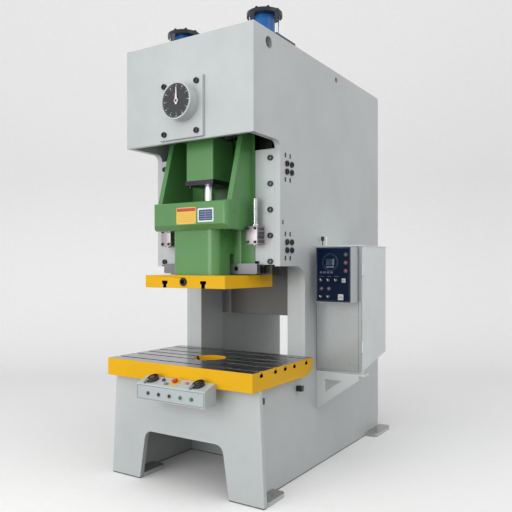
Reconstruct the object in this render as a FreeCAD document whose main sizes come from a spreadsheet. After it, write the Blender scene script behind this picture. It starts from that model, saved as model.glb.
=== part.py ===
import FreeCAD, Part
import math
import os
import re
import Sketcher

# Mechanical stamping press: an open-back C-frame crank press with a welded plate frame.
# Frame of reference: X to the right, Y to the back, Z up, millimetres.
# The pieces are drawn with Y = 0 at the front face of the base. They are then moved forward
# by datum_depth, so that the origin lies on the floor, midway between the four anchor holes.

os.makedirs("parts", exist_ok=True)
doc = FreeCAD.newDocument("stamping_press")

# ---------------------------------------------------------------- driving dimensions

# A size that starts with = follows other sizes.
SIZES = {
    # whole frame
    "half_width": 510,         # outer face of a side plate from the middle
    "side_plate_t": 40,
    "rear_depth": 2030,        # rear edge of the side plates
    "press_height": 2850,      # top of the crown
    "crown_depth": 36,         # front face of the crown
    "crown_height": 656,
    "crown_bottom": "=press_height - crown_height",
    "guide_depth": 347,        # front edge of the side plates beside the slide
    "head_height": 1450,
    "head_bottom": "=press_height - head_height",     # upper edge of the throat
    "bed_top": 677,
    "crown_corner_r": 45,
    "throat_corner_r": 110,
    "rear_corner_r": 25,
    "lift_hole_r": 37,
    "lift_hole_depth": 209,
    "lift_hole_drop": 80,
    "lift_hole_z": "=press_height - lift_hole_drop",
    "lamp_hole_r": 20,
    "lamp_hole_depth": 1180,
    "overrun": 5,              # how far a cutting piece runs past the surface
    "seat_gap": 0.3,           # between two pieces that are fixed to each other
    # base, bed and feet
    "base_plate_t": 35,
    "base_reach_top": 62,      # past the side plates, at the bed
    "base_reach_floor": 97,
    "base_half_top": "=half_width + base_reach_top",
    "base_half_floor": "=half_width + base_reach_floor",
    "leg_width": 249,
    "arch_slant": 50,
    "arch_half_floor": "=base_half_floor - leg_width",
    "arch_half_top": "=arch_half_floor - arch_slant",
    "arch_height": 322,
    "arch_corner_r": 60,
    "bed_plate_t": 40,
    "bed_hole_r": 160,
    "bed_web_t": 30,
    "rear_tie_top": 540,
    "foot_t": 28,
    "foot_outer_x": "=base_half_floor",
    "foot_front_length": 250,
    "foot_inner_x": "=arch_half_floor - 2",
    "foot_rear_length": 280,
    "foot_rear_reach": 40,
    "foot_rear_start": "=rear_depth - foot_rear_length",
    "foot_rear_end": "=rear_depth + foot_rear_reach",
    "foot_corner_r": 30,
    "anchor_reach": 50,        # anchor hole from the outer face of a side plate
    "anchor_pitch_x": "=2 * half_width + 2 * anchor_reach",
    "anchor_front_depth": 150,
    "anchor_rear_inset": 180,
    "anchor_pitch_y": "=rear_depth - anchor_rear_inset - anchor_front_depth",
    "datum_depth": "=anchor_front_depth + anchor_pitch_y / 2",
    "anchor_hole_r": 16.5,
    # crown and inner walls
    "crown_plate_t": 30,
    "crown_port_r": 128,
    "wall_t": 60,
    "front_wall_depth": 110,
    "middle_wall_depth": 525,
    "rear_wall_depth": 780,
    "drive_wall_half_height": 260,
    "crank_wall_drop": 137,    # crank axis down to the lower edge of its walls
    "guide_back_depth": 540,
    "guide_back_t": 30,
    # posts and drive bay
    "post_width": 96,
    "post_inner_x": "=half_width - side_plate_t - post_width",
    "post_plate_t": 30,
    "post_length": 275,
    "bay_floor_t": 20,
    "bay_wall_depth": 1077,
    "bay_wall_t": 30,
    "bay_start_depth": 573,
    "rear_cover_t": 8,
    "vent_length": 300,
    "vent_width": 16,
    "vent_pitch": 46,
    # bolster
    "bolster_half": 575,
    "bolster_front": -76,
    "bolster_length": 751,
    "throat_gap": 7,
    "throat_depth": "=bolster_front + bolster_length + throat_gap",   # front face of the posts
    "bolster_t": 113,
    "bolster_nose_cut": 105,
    "bolster_hole_r": 107,
    "bolster_ledge_r": 92,
    "bolster_ledge_t": 25,
    "bolster_middle": "=bolster_front + bolster_length / 2",
    "tslot_near": 118,         # from the middle slot to the next ones
    "tslot_far": 279,
    "tslot_mouth": 20,
    "tslot_mouth_depth": 18,
    "tslot_width": 34,
    "tslot_height": 18,
    # guides
    "slide_axis_depth": 291,   # middle of the shank bore, the screw and the bolster hole
    "guide_gap": 0.3,
    "guide_step_gap": 1,
    "gib_inner_x": 322,
    "gib_t": 42,
    "gib_low_gap": 10,
    "gib_high_gap": 44,
    "gib_bottom": "=head_bottom + gib_low_gap",
    "gib_top": "=crown_bottom - gib_high_gap",
    "gib_step": 22,
    "gib_step_x": 352,
    "wing_gap": 45,
    "wing_half": "=half_width - side_plate_t - wing_gap",
    "wing_depth": 130,
    "guide_inner_x": 342,
    "gib_bolt_inset": 30,
    "gib_bolt_x": "=half_width - side_plate_t - gib_bolt_inset",
    "gib_bolt_low": 21,
    "gib_bolt_high": 59,
    "gib_bolt_first": "=gib_bottom + gib_bolt_low",
    "gib_bolt_pitch": "=(gib_top - gib_bottom - gib_bolt_low - gib_bolt_high) / 4",
    "cap_screw_r": 18,
    "cap_screw_head": 15,
    "socket_r": 8,
    "socket_depth": 8,
    "side_screw_inset": 120,
    "side_screw_low": "=gib_bottom + side_screw_inset",
    "side_screw_drop": 116,
    "side_screw_high": "=gib_top - side_screw_drop",
    "side_screw_depth": 430,
    "side_screw_pitch": 62,
    "side_screw_r": 19,
    "side_screw_head": 12,
    "side_lock_r": 15,
    "side_lock_head": 3,
    "side_lock_shift": 18,
    "side_screw_rise": 26,
    "side_lock_rise": 78,
    # slide
    "gear_top_gap": 25,        # main gear to the crown
    "crank_drop": "=crown_plate_t + gear_top_gap + gear_module * (gear_teeth / 2 + gear_addendum)",
    "crank_z": "=press_height - crank_drop",
    "slide_drop": 1085,
    "slide_bottom": "=crank_z - slide_drop",     # seat of the slide plate, at top dead centre
    "slide_top_gap": 30,       # under the walls of the crank
    "slide_top": "=crank_z - crank_wall_drop - slide_top_gap",
    "slide_front": 105,
    "slide_half": 180,
    "slide_corner_r": 58,
    "slide_fillet_r": 40,
    "band_front": 60,
    "band_half": 300,
    "band_rise": 290,
    "band_height": 178,
    "band_bottom": "=slide_bottom + band_rise",
    "band_top": "=band_bottom + band_height",
    "band_bevel": 32,
    "band_corner_r": 14,
    "band_side_r": 28,
    "ear_t": 36,
    "ear_foot_depth": 112,
    "ear_head_depth": 243,
    "back_web_depth": 440,
    "socket_bore_r": 95,
    "socket_floor_rise": 198,
    "socket_floor": "=slide_bottom + socket_floor_rise",
    "knock_slot_width": 46.6,
    "knock_rise": 8,
    "knock_travel": 50,
    "knock_play": 12,
    "knock_slot_floor": "=slide_bottom + knock_rise",
    "knock_bar_t": 40,
    "knock_bar_height": 68,
    "knock_slot_top": "=knock_slot_floor + knock_bar_height + knock_travel + knock_play",
    "knock_bar_half": 385,
    "knock_bar_round": 12,
    "knock_hole_r": 15,
    "knock_hole_x": 226,
    # slide plate
    "slide_plate_t": 80,
    "slide_plate_half": 320,
    "slide_plate_front": 13,
    "slide_plate_length": 556,
    "slide_tslot_x": 155,
    "slide_mouth": 28,
    "slide_mouth_depth": 26,
    "slide_tee_width": 46,
    "slide_tee_height": 20,
    "shank_r": 30,
    "shank_screw_r": 26,
    "shank_screw_proud": 9,
    "shank_wall": 12,
    "shank_tip_r": 9,
    # connecting rod and screw
    "stroke": 180,
    "die_height_range": 60,
    "rod_half_x": 110,
    "rod_half_y": 116,
    "rod_block_drop": 287,     # from the axis of the big end
    "rod_block_height": 269,
    "rod_top": "=crank_z + stroke / 2 - rod_block_drop",
    "rod_bottom": "=rod_top - rod_block_height",
    "rod_corner_r": 10,
    "rod_neck_half": 84,
    "rod_ring_half": 56,
    "rod_ring_r": 206,
    "rod_eye_r": 165,
    "rod_lug_x": 236,
    "rod_lug_half": 34,
    "flange_t": 30,
    "flange_lap": 3,
    "flange_nut_r": 11,
    "flange_nut_h": 14,
    "screw_r": 42,
    "screw_gap": 0.06,
    "screw_engaged": 189,
    "screw_top": "=rod_bottom + screw_engaged",
    "ball_r": 75,
    "ball_rise": 110,
    "ball_z": "=socket_floor + ball_rise",
    "ball_gap": 0.3,
    "socket_lip": 14,
    "socket_cap_lift": 2,
    "socket_cap_t": 54,
    "socket_cup_top": "=ball_z - socket_lip",
    "socket_cap_bottom": "=ball_z + socket_cap_lift",
    "socket_cap_top": "=socket_cap_bottom + socket_cap_t",
    "socket_cap_bore": 58,
    "socket_cap_r": 140,
    # crankshaft and gears
    "crank_pin_r": 70,
    "front_journal_r": 70,
    "rear_journal_r": 80,
    "web_t": 28,
    "web_gap": 2,
    "web_r": 164,
    "crank_end_depth": 880,
    "spindle_r": 12,
    "bearing_gap": 0.05,
    "bush_wall": 18,
    "gear_module": 10,
    "gear_teeth": 72,
    "pinion_teeth": 15,
    "gear_face": 120,
    "gear_front": 610,
    "gear_rim": 46,
    "gear_web_t": 44,
    "gear_hub_r": 140,
    "gear_window_r": 58,
    "gear_windows": 6,
    "gear_backlash": 1.2,
    "gear_addendum": 0.8,
    "pinion_shaft_r": 50,
    "pinion_extra": 8,
    # flywheel, clutch, motor and belts
    "motor_wall_gap": 28,      # behind the wall of the drive bay
    "motor_length": 290,
    "motor_end": "=bay_wall_depth + bay_wall_t + motor_wall_gap + motor_length",
    "pulley_width": 84,
    "pulley_gap": 8,
    "flywheel_t": 170,
    "flywheel_front": "=motor_end + pulley_gap - (flywheel_t - pulley_width) / 2",
    "drive_wall_gap": 80,
    "drive_wall_depth": "=flywheel_front - drive_wall_gap - wall_t",
    "flywheel_r": 400,
    "flywheel_rim": 70,
    "flywheel_web_t": 60,
    "flywheel_hub_r": 110,
    "flywheel_gap": 0.05,
    "belt_count": 3,
    "belt_width": 17,
    "belt_t": 11,
    "belt_pitch": 26,
    "belt_gap": 0.5,
    "clutch_r": 205,
    "clutch_t": 120,
    "shaft_end_proud": 53,
    "pinion_shaft_end": "=flywheel_front + flywheel_t + clutch_gap + clutch_t + shaft_end_proud",
    "clutch_gap": 12,
    "clutch_fins": 4,
    "clutch_fin_t": 12,
    "clutch_fin_rise": 14,
    "motor_r": 130,
    "motor_shaft_height": 180,
    "motor_drop": 1204,        # crank axis down to the motor shaft
    "bay_floor_z": "=crank_z - motor_drop - motor_shaft_height - bay_floor_t",
    "motor_shaft_r": 24,
    "motor_foot_t": 18,
    "motor_foot_half": 125,
    "motor_rib_rise": 14,
    "motor_rib_t": 10,
    "motor_ribs": 9,
    "pulley_r": 75,
    # balance cylinders
    "balance_x": 339,
    "balance_depth": 437,
    "balance_plate_t": 20,
    "balance_plate_length": 243,
    "balance_plate_inset": 5,
    "balance_plate_half": "=half_width - balance_plate_inset",
    "balance_r": 68,
    "balance_wall": 12,
    "balance_drop": 130,
    "balance_rise": 212,
    "balance_low": "=press_height - balance_drop",
    "balance_high": "=press_height + balance_rise",
    "balance_flange_r": 118,
    "balance_flange_t": 24,
    "balance_stud_r": 7,
    "balance_stud_rise": 15,
    "balance_stud_ring": 98,
    "balance_studs": 8,
    "balance_rod_r": 18,
    "balance_rod_gap": 0.06,
    "balance_piston_t": 25,
    "balance_piston_gap": 0.3,
    "balance_piston_rise": 66,
    "balance_piston_z": "=press_height + balance_piston_rise",
    # angle dial on the crown
    "dial_plate_x": -26,        # middle of the cover plate
    "dial_plate_half": 175,
    "dial_plate_below": 220,   # crank axis down to its lower edge
    "dial_plate_above": 163,
    "dial_plate_low": "=crank_z - dial_plate_below",
    "dial_plate_high": "=crank_z + dial_plate_above",
    "dial_plate_t": 22,
    "dial_bolt_x": 131,
    "dial_bolt_z": 154,
    "dial_r": 117,
    "dial_length": 80,
    "dial_rim": 10,
    "dial_recess": 9,
    "dial_bore_r": 15,
    "pointer_length": 88,
    "pointer_tail": 22,
    "pointer_half": 7,
    "pointer_tip": 2,
    "pointer_t": 2.5,
    "pointer_hub_r": 15,
    "pointer_lift": 1.5,
    # knock-out brackets on the gib plates
    "bracket_x": 312,
    "bracket_width": 85,
    "stop_clearance": 2,       # knock-out bar at its highest, under the stop screws
    "stop_screw_proud": 8,
    "stop_screw_length": 306,
    "bracket_height": 118,
    "stop_screw_low": "=knock_slot_floor + knock_bar_height + knock_travel + die_height_range + stop_clearance",
    "bracket_low": "=stop_screw_low + stop_screw_proud",
    "bracket_high": "=bracket_low + bracket_height",
    "bracket_reach": 94,
    "bracket_lug": 14,
    "stop_screw_x": 360,
    "stop_screw_r": 14,
    "stop_screw_high": "=stop_screw_low + stop_screw_length",
    "stop_nut_r": 20,
    "stop_nut_t": 12,
    "bracket_bolt_x": 28,
    "bracket_bolt_z": 44,
    "small_screw_r": 9,
    "small_screw_head": 9,
    # two-hand control box
    "box_middle": 58,
    "box_half": 264,
    "box_front": -190,
    "box_back": -78,
    "box_low": 581,
    "box_front_top": 678,
    "box_back_top": 716,
    "box_corner_r": 12,
    "box_arm_half": 110,
    "box_arm_low": 596,
    "box_arm_high": 660,
    "palm_x": 178,
    "palm_r": 24,
    "palm_t": 16,
    "palm_stem_r": 12,
    "palm_stem_length": 14,
    "palm_travel": 6,
    "palm_guard_r": 38,
    "palm_guard_wall": 5,
    "palm_guard_t": 12,
    "top_button_back": 56,     # rear edge of the sloping top to the button line
    "stop_r": 19,
    "stop_t": 15,
    "stop_collar_r": 30,
    "stop_collar_t": 3,
    "selector_x": 90,
    "selector_r": 12,
    "selector_t": 18,
    "lamp_step": 32,
    "front_button_pitch": 84,
    "front_button_z": 625,
    "front_button_r": 10,
    "front_button_proud": 7,
    "front_button_depth": 22,
    "front_button_travel": 4,
    "button_gap": 0.3,
    # electrical cabinet
    "cabinet_front": 846,
    "cabinet_back": 1309,
    "cabinet_width": 336,
    "cabinet_low": 688,
    "cabinet_high": 1543,
    "cabinet_rise": 87,        # the floor of the cabinet rises to the back
    "cabinet_wall": 14,
    "cabinet_door_t": 18,
    "cabinet_door_gap": 1.5,
    "cabinet_door_free": 15,   # lets the door swing past the bolster
    "cabinet_lid_t": 6,
    "cabinet_lid_lap": 5,
    "top_fitting_r": 4,
    "top_fitting_rise": 66,
    "top_fitting_depth": 890,
    "top_knob_r": 12,
    "top_knob_t": 30,
    "hinge_r": 6,
    "hinge_length": 70,
    "hinge_inset": 130,
    "panel_left": 55,
    "panel_right": 24,
    "panel_reach": 109,
    "panel_low": 1157,
    "panel_high": 1531,
    "panel_face_t": 4,
    "panel_face_margin": 4,
    "knob_r": 13,
    "knob_t": 15,
    "knob_pitch": 55,
    "knob_first": 44,
    "knob_row_high": 1306,
    "knob_row_low": 1195,
    "knob_grip_half": 3.5,
    "knob_grip_rise": 5,
    "panel_lamp_r": 11,
    "panel_lamp_t": 6,
    "panel_lamp_x": 36,
    "panel_lamp_z": 1477,
    "panel_lamp_pitch": 54,
    "key_half": 12,
    "key_t": 5,
    "shelf_t": 12,
    "shelf_gap": 16,           # from the ledge to the cabinet, with a rail between them
    "shelf_reach": 84,
    "shelf_lap": 26,
    "shelf_rail_inset": 5,
    "shelf_gusset_t": 12,
    "shelf_gusset_drop": 260,
    "shelf_gusset_end": 33,
    "shelf_gusset_inset": 18,
    "shelf_window_inset": 65,
    "shelf_window_drop": 45,
    "shelf_window_height": 90,
    "shelf_window_width": 126,
    "rack_plate_t": 4,
    "rack_margin": 40,
    "rack_depth": 70,
    # sockets on the frame
    "socket_box_depth": 571,
    "socket_box_z": 594,
    "socket_box_length": 32,
    "socket_box_height": 36,
    "socket_box_reach": 42,
    "plug_box_depth": 64,
    "plug_box_z": 601,
}

sheet = doc.addObject("Spreadsheet::Sheet", "Sizes")
for line, alias in enumerate(SIZES, start=1):
    sheet.set("A%d" % line, alias)
    sheet.setAlias("B%d" % line, alias)
for alias, size in SIZES.items():
    sheet.set(sheet.getCellFromAlias(alias), str(size))
doc.recompute()

WORD = re.compile(r"[a-z][a-z_0-9]*")


def link(text):
    """Expression text in which each named size points to its cell in the sheet."""
    return WORD.sub(lambda w: "Sizes." + w.group() if w.group() in SIZES else w.group(), text)


def val(text):
    """Number that a text of named sizes stands for."""
    filled = WORD.sub(lambda w: "(%r)" % float(sheet.get(w.group())), text)
    return FreeCAD.Units.Quantity(filled).Value


def bind(item, name, text):
    item.setExpression(name, link(text))

AXES = {
    "x": FreeCAD.Rotation(FreeCAD.Vector(0, 1, 0), 90),
    "y": FreeCAD.Rotation(FreeCAD.Vector(1, 0, 0), -90),
    "z": FreeCAD.Rotation(),
}


def place(item, at, turn=FreeCAD.Rotation()):
    """Put an item at a point of the drawing, given as three texts, with an optional turn."""
    spot = (at[0], "(%s) - datum_depth" % at[1], at[2])
    item.Placement = FreeCAD.Placement(FreeCAD.Vector(*[val(a) for a in spot]), turn)
    for letter, text in zip("xyz", spot):
        bind(item, "Placement.Base." + letter, text)


def box(name, low, high):
    """Box between two corners, each given as three texts."""
    item = doc.addObject("Part::Box", name)
    for prop, a, b in zip(("Length", "Width", "Height"), low, high):
        bind(item, prop, "(%s) - (%s)" % (b, a))
    place(item, low)
    return item


def rod(name, radius, at, length, axis="z"):
    """Cylinder that starts at a point and runs along an axis or in a turned direction."""
    item = doc.addObject("Part::Cylinder", name)
    bind(item, "Radius", radius)
    bind(item, "Height", length)
    place(item, at, AXES[axis] if isinstance(axis, str) else axis)
    return item


def ball(name, radius, at):
    item = doc.addObject("Part::Sphere", name)
    bind(item, "Radius", radius)
    place(item, at)
    return item


def fuse(name, items):
    item = doc.addObject("Part::MultiFuse", name)
    item.Shapes = items
    return item


def cut(name, base, tools):
    item = doc.addObject("Part::Cut", name)
    item.Base = base
    item.Tool = tools[0] if len(tools) == 1 else fuse(name + "_tools", tools)
    return item


def group(name, items):
    """Several separate solids of one kind, kept as one sub-part."""
    item = doc.addObject("Part::Compound", name)
    item.Links = items
    return item


def mirrored(name, item):
    """The same piece on the other side of the middle plane."""
    copy = doc.addObject("Part::Mirroring", name)
    copy.Source = item
    copy.Normal = FreeCAD.Vector(1, 0, 0)
    return copy


def both_sides(name, item):
    return group(name, [item, mirrored(name + "_other", item)])


PLANES = {"xy": "XY_Plane", "yz": "YZ_Plane", "xz": "XZ_Plane"}


def outline(body, name, plane, points):
    """Closed sketch of straight lines; each corner is held by two named sizes."""
    sketch = body.newObject("Sketcher::SketchObject", name)
    face = [f for f in body.Origin.OriginFeatures if f.Role == PLANES[plane]][0]
    sketch.AttachmentSupport = [(face, "")]
    sketch.MapMode = "FlatFace"
    spots = [FreeCAD.Vector(val(a), val(b), 0) for a, b in points]
    following = spots[1:] + spots[:1]
    for spot, after in zip(spots, following):
        sketch.addGeometry(Part.LineSegment(spot, after), False)
    for i in range(len(spots)):
        after = (i + 1) % len(spots)
        sketch.addConstraint(Sketcher.Constraint("Coincident", i, 2, after, 1))
    for i, (texts, spot) in enumerate(zip(points, spots)):
        for kind, text, size in zip(("DistanceX", "DistanceY"), texts, spot):
            number = sketch.addConstraint(Sketcher.Constraint(kind, -1, 1, i, 1, size))
            bind(sketch, "Constraints[%d]" % number, text)
    return sketch


def corner_edges(shape, plane, corners):
    """Names of the edges that cross the sketch plane at the given corners."""
    first, second = plane
    names = []
    for number, edge in enumerate(shape.Edges, start=1):
        for a, b in corners:
            away = [abs(getattr(v.Point, first) - val(a)) + abs(getattr(v.Point, second) - val(b))
                    for v in edge.Vertexes]
            if max(away) < 0.01:
                names.append("Edge%d" % number)
    return names


def plate(name, plane, points, start, thickness, rounds=()):
    """Body padded from an outline; rounds holds pairs of a corner list and a radius."""
    body = doc.addObject("PartDesign::Body", name)
    pad = body.newObject("PartDesign::Pad", name + "_pad")
    pad.Profile = outline(body, name + "_outline", plane, points)
    pad.Reversed = plane == "xz"
    bind(pad, "Length", thickness)
    doc.recompute()
    for number, (corners, radius) in enumerate(rounds):
        base = body.Tip
        fillet = body.newObject("PartDesign::Fillet", "%s_round%d" % (name, number))
        fillet.Base = (base, corner_edges(base.Shape, plane, corners))
        bind(fillet, "Radius", radius)
        body.Tip = fillet
        doc.recompute()
    start_at = {"xy": ("0", "0", start), "yz": (start, "0", "0"), "xz": ("0", start, "0")}
    place(body, start_at[plane])
    return body


def solid(name, shape, at=("0", "0", "0")):
    """Piece whose form comes from a formula and not from a sketch or a primitive."""
    item = doc.addObject("Part::Feature", name)
    item.Shape = shape
    place(item, at)
    return item


NODES = []


def node(item):
    """Mark an item as a finished sub-part."""
    NODES.append(item)
    return item


# ---------------------------------------------------------------- frame

INNER = "(half_width - side_plate_t)"

side_outline = [
    ("base_plate_t", "0"), ("rear_depth", "0"),
    ("rear_depth", "press_height"), ("crown_depth", "press_height"),
    ("crown_depth", "crown_bottom"), ("guide_depth", "crown_bottom"),
    ("guide_depth", "head_bottom"), ("throat_depth", "head_bottom"),
    ("throat_depth", "bed_top"), ("base_plate_t", "bed_top"),
]
side_rounds = [
    ([("throat_depth", "head_bottom")], "throat_corner_r"),
    ([("guide_depth", "crown_bottom")], "crown_corner_r"),
    ([("rear_depth", "press_height")], "rear_corner_r"),
]
side_blank = plate("side_blank", "yz", side_outline, INNER, "side_plate_t", side_rounds)
side_holes = [
    rod("lift_hole", "lift_hole_r", (INNER + " - overrun", "lift_hole_depth", "lift_hole_z"),
        "side_plate_t + 2 * overrun", "x"),
    rod("lamp_hole", "lamp_hole_r", (INNER + " - overrun", "lamp_hole_depth", "lift_hole_z + lamp_hole_r"),
        "side_plate_t + 2 * overrun", "x"),
]
side_plate_right = node(cut("side_plate_right", side_blank, side_holes))
node(mirrored("side_plate_left", side_plate_right))

crown_front = box("crown_front", ("-" + INNER, "crown_depth", "crown_bottom"),
                  (INNER, "crown_depth + crown_plate_t", "press_height"))
crown_top = box("crown_top", ("-" + INNER, "crown_depth", "press_height - crown_plate_t"),
                (INNER, "rear_depth", "press_height"))
crown_port = rod("crown_port", "crown_port_r", ("0", "crown_depth - overrun", "crank_z"),
                 "crown_plate_t + 2 * overrun", "y")


def balance_hole(name, low, high):
    hole = rod(name, "balance_r + seat_gap", ("balance_x", "balance_depth", low + " - overrun"),
               "%s - (%s) + 2 * overrun" % (high, low))
    return both_sides(name + "_pair", hole)


node(cut("crown_plates", fuse("crown_shell", [crown_front, crown_top]),
         [crown_port, balance_hole("crown_top_hole", "press_height - crown_plate_t", "press_height")]))

PINION_Z = "(crank_z - gear_module * (gear_teeth + pinion_teeth) / 2)"
CRANK_JOURNAL = "(rear_journal_r + bearing_gap)"
FRONT_JOURNAL = "(front_journal_r + bearing_gap)"
PINION_JOURNAL = "(pinion_shaft_r + bearing_gap)"
CRANK_WALL_LOW = "crank_z - crank_wall_drop"
DRIVE_WALL_LOW = PINION_Z + " - drive_wall_half_height"
CROWN_INSIDE = "press_height - crown_plate_t"

walls = []
bushes = []
for wall_name, depth, low, high, bores in [
    ("front_wall", "front_wall_depth", CRANK_WALL_LOW, CROWN_INSIDE, [("crank_z", FRONT_JOURNAL)]),
    ("middle_wall", "middle_wall_depth", CRANK_WALL_LOW, CROWN_INSIDE, [("crank_z", CRANK_JOURNAL)]),
    ("rear_wall", "rear_wall_depth", DRIVE_WALL_LOW, CROWN_INSIDE,
     [("crank_z", CRANK_JOURNAL), (PINION_Z, PINION_JOURNAL)]),
    ("drive_wall", "drive_wall_depth", DRIVE_WALL_LOW, PINION_Z + " + drive_wall_half_height",
     [(PINION_Z, PINION_JOURNAL)]),
]:
    blank = box(wall_name + "_blank", ("-" + INNER, depth, low), (INNER, depth + " + wall_t", high))
    seats = []
    for number, (height, journal) in enumerate(bores):
        bush_name = "%s_bush%d" % (wall_name, number)
        seats.append(rod(bush_name + "_seat", journal + " + bush_wall + seat_gap",
                         ("0", depth + " - overrun", height), "wall_t + 2 * overrun", "y"))
        outer = rod(bush_name + "_outer", journal + " + bush_wall", ("0", depth, height), "wall_t", "y")
        bore = rod(bush_name + "_bore", journal, ("0", depth + " - overrun", height),
                   "wall_t + 2 * overrun", "y")
        bushes.append(cut(bush_name, outer, [bore]))
    walls.append(cut(wall_name, blank, seats))
node(group("bearing_walls", walls))
node(group("shaft_bushes", bushes))

bay_head = box("bay_head", ("-" + INNER, "bay_start_depth", "head_bottom"),
               (INNER, "bay_wall_depth + bay_wall_t", "head_bottom + bay_floor_t"))
bay_wall = box("bay_wall", ("-" + INNER, "bay_wall_depth", "bay_floor_z"),
               (INNER, "bay_wall_depth + bay_wall_t", "head_bottom + bay_floor_t"))
bay_floor = box("bay_floor", ("-" + INNER, "bay_wall_depth", "bay_floor_z"),
                (INNER, "rear_depth", "bay_floor_z + bay_floor_t"))
rear_plate = box("rear_plate", ("-" + INNER + " + seat_gap", "rear_depth - rear_cover_t", "bay_floor_z + bay_floor_t"),
                 (INNER + " - seat_gap", "rear_depth", CROWN_INSIDE))
vents = []
for row in range(6):
    for side, left in (("left", "-vent_length - vent_pitch / 2"), ("right", "vent_pitch / 2")):
        low = "head_bottom + %d * vent_pitch" % row
        vents.append(box("vent_%s_%d" % (side, row), (left, "rear_depth - rear_cover_t - overrun", low),
                         (left + " + vent_length", "rear_depth + overrun", low + " + vent_width")))
node(group("drive_bay_plates", [fuse("drive_bay_floor", [bay_head, bay_wall, bay_floor]),
                                cut("rear_cover", rear_plate, vents)]))

post_front = box("post_front", ("post_inner_x", "throat_depth", "bed_top"),
                 (INNER, "throat_depth + post_plate_t", "head_bottom"))
post_inner = box("post_inner", ("post_inner_x", "throat_depth", "bed_top"),
                 ("post_inner_x + post_plate_t", "throat_depth + post_length", "head_bottom"))
post_back = box("post_back", ("post_inner_x", "throat_depth + post_length - post_plate_t", "bed_top"),
                (INNER, "throat_depth + post_length", "head_bottom"))
node(both_sides("throat_posts", fuse("throat_post", [post_front, post_inner, post_back])))

base_outline = [
    ("base_half_floor", "0"), ("base_half_top", "bed_top"),
    ("-base_half_top", "bed_top"), ("-base_half_floor", "0"),
    ("-arch_half_floor", "0"), ("-arch_half_top", "arch_height"),
    ("arch_half_top", "arch_height"), ("arch_half_floor", "0"),
]
arch_corners = [("-arch_half_top", "arch_height"), ("arch_half_top", "arch_height")]
node(plate("base_front_plate", "xz", base_outline, "0", "base_plate_t", [(arch_corners, "arch_corner_r")]))

bed_plate = box("bed_plate", ("-" + INNER, "base_plate_t", "bed_top - bed_plate_t"),
                (INNER, "bay_wall_depth + bay_wall_t", "bed_top"))
bed_hole = rod("bed_hole", "bed_hole_r", ("0", "slide_axis_depth", "bed_top - bed_plate_t - overrun"),
               "bed_plate_t + 2 * overrun")
bed_web = box("bed_web", ("-" + INNER, "throat_depth", "0"),
              (INNER, "throat_depth + bed_web_t", "bed_top - bed_plate_t"))
rear_tie = box("rear_tie", ("-" + INNER, "rear_depth - bed_web_t", "arch_height"),
               (INNER, "rear_depth", "rear_tie_top"))
node(group("bed", [fuse("bed_shell", [cut("bed_top_plate", bed_plate, [bed_hole]), bed_web]), rear_tie]))


def foot(name, x_low, x_high, y_low, y_high, round_x):
    points = [(x_low, y_low), (x_high, y_low), (x_high, y_high), (x_low, y_high)]
    return plate(name, "xy", points, "0", "foot_t",
                 [([(round_x, y_low), (round_x, y_high)], "foot_corner_r")])


front_foot = foot("front_foot", "half_width", "foot_outer_x", "base_plate_t", "foot_front_length", "foot_outer_x")
inner_foot = foot("inner_foot", "foot_inner_x", INNER, "base_plate_t", "foot_front_length", "foot_inner_x")
rear_foot = foot("rear_foot", "half_width", "foot_outer_x", "foot_rear_start", "foot_rear_end", "foot_outer_x")
ANCHOR_FRONT = "(datum_depth - anchor_pitch_y / 2)"
ANCHOR_REAR = "(datum_depth + anchor_pitch_y / 2)"
feet = []
for foot_blank, depth in ((front_foot, ANCHOR_FRONT), (rear_foot, ANCHOR_REAR)):
    hole = rod(foot_blank.Name + "_hole", "anchor_hole_r", ("anchor_pitch_x / 2", depth, "-overrun"),
               "foot_t + 2 * overrun")
    feet.append(cut(foot_blank.Name + "_drilled", foot_blank, [hole]))
node(both_sides("foot_pads", group("foot_pads_right", feet + [inner_foot])))

# ---------------------------------------------------------------- bolster

BOLSTER_BACK = "(bolster_front + bolster_length)"
BOLSTER_TOP = "(bed_top + bolster_t)"
bolster_outline = [
    ("bolster_front", "bed_top"), (BOLSTER_BACK, "bed_top"),
    (BOLSTER_BACK, BOLSTER_TOP), ("bolster_front", BOLSTER_TOP),
]
bolster_blank = plate("bolster_blank", "yz", bolster_outline, "-bolster_half", "2 * bolster_half",
                      [([(BOLSTER_BACK, "bed_top")], "bolster_nose_cut")])
bolster_cuts = [
    rod("die_hole", "bolster_hole_r", ("0", "slide_axis_depth", "bed_top + bolster_ledge_t"), "bolster_t"),
    rod("die_hole_ledge", "bolster_ledge_r", ("0", "slide_axis_depth", "bed_top - overrun"), "bolster_t"),
]
MOUTH_FLOOR = BOLSTER_TOP + " - tslot_mouth_depth"
for row, offset in enumerate(("-tslot_far", "-tslot_near", "0", "tslot_near", "tslot_far")):
    middle = "bolster_middle + (%s)" % offset
    bolster_cuts.append(box("bolster_mouth%d" % row,
                            ("-bolster_half - overrun", middle + " - tslot_mouth / 2", MOUTH_FLOOR),
                            ("bolster_half + overrun", middle + " + tslot_mouth / 2", BOLSTER_TOP + " + overrun")))
    bolster_cuts.append(box("bolster_tee%d" % row,
                            ("-bolster_half - overrun", middle + " - tslot_width / 2",
                             MOUTH_FLOOR + " - tslot_height"),
                            ("bolster_half + overrun", middle + " + tslot_width / 2", MOUTH_FLOOR)))
node(cut("bolster", bolster_blank, bolster_cuts))

# ---------------------------------------------------------------- slide guides

GIB_BACK = "(guide_depth + gib_t)"
WING_BACK = "(guide_depth + gib_t + guide_gap + wing_depth)"
RAIL_FRONT = "(guide_depth + gib_t + 2 * guide_gap + wing_depth)"
gib_outline = [
    ("gib_inner_x", "gib_bottom + gib_step"), ("gib_step_x", "gib_bottom + gib_step"),
    ("gib_step_x", "gib_bottom"), (INNER, "gib_bottom"),
    (INNER, "gib_top"), ("gib_inner_x", "gib_top"),
]
node(both_sides("gib_plates", plate("gib_plate", "xz", gib_outline, "guide_depth", "gib_t")))

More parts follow.
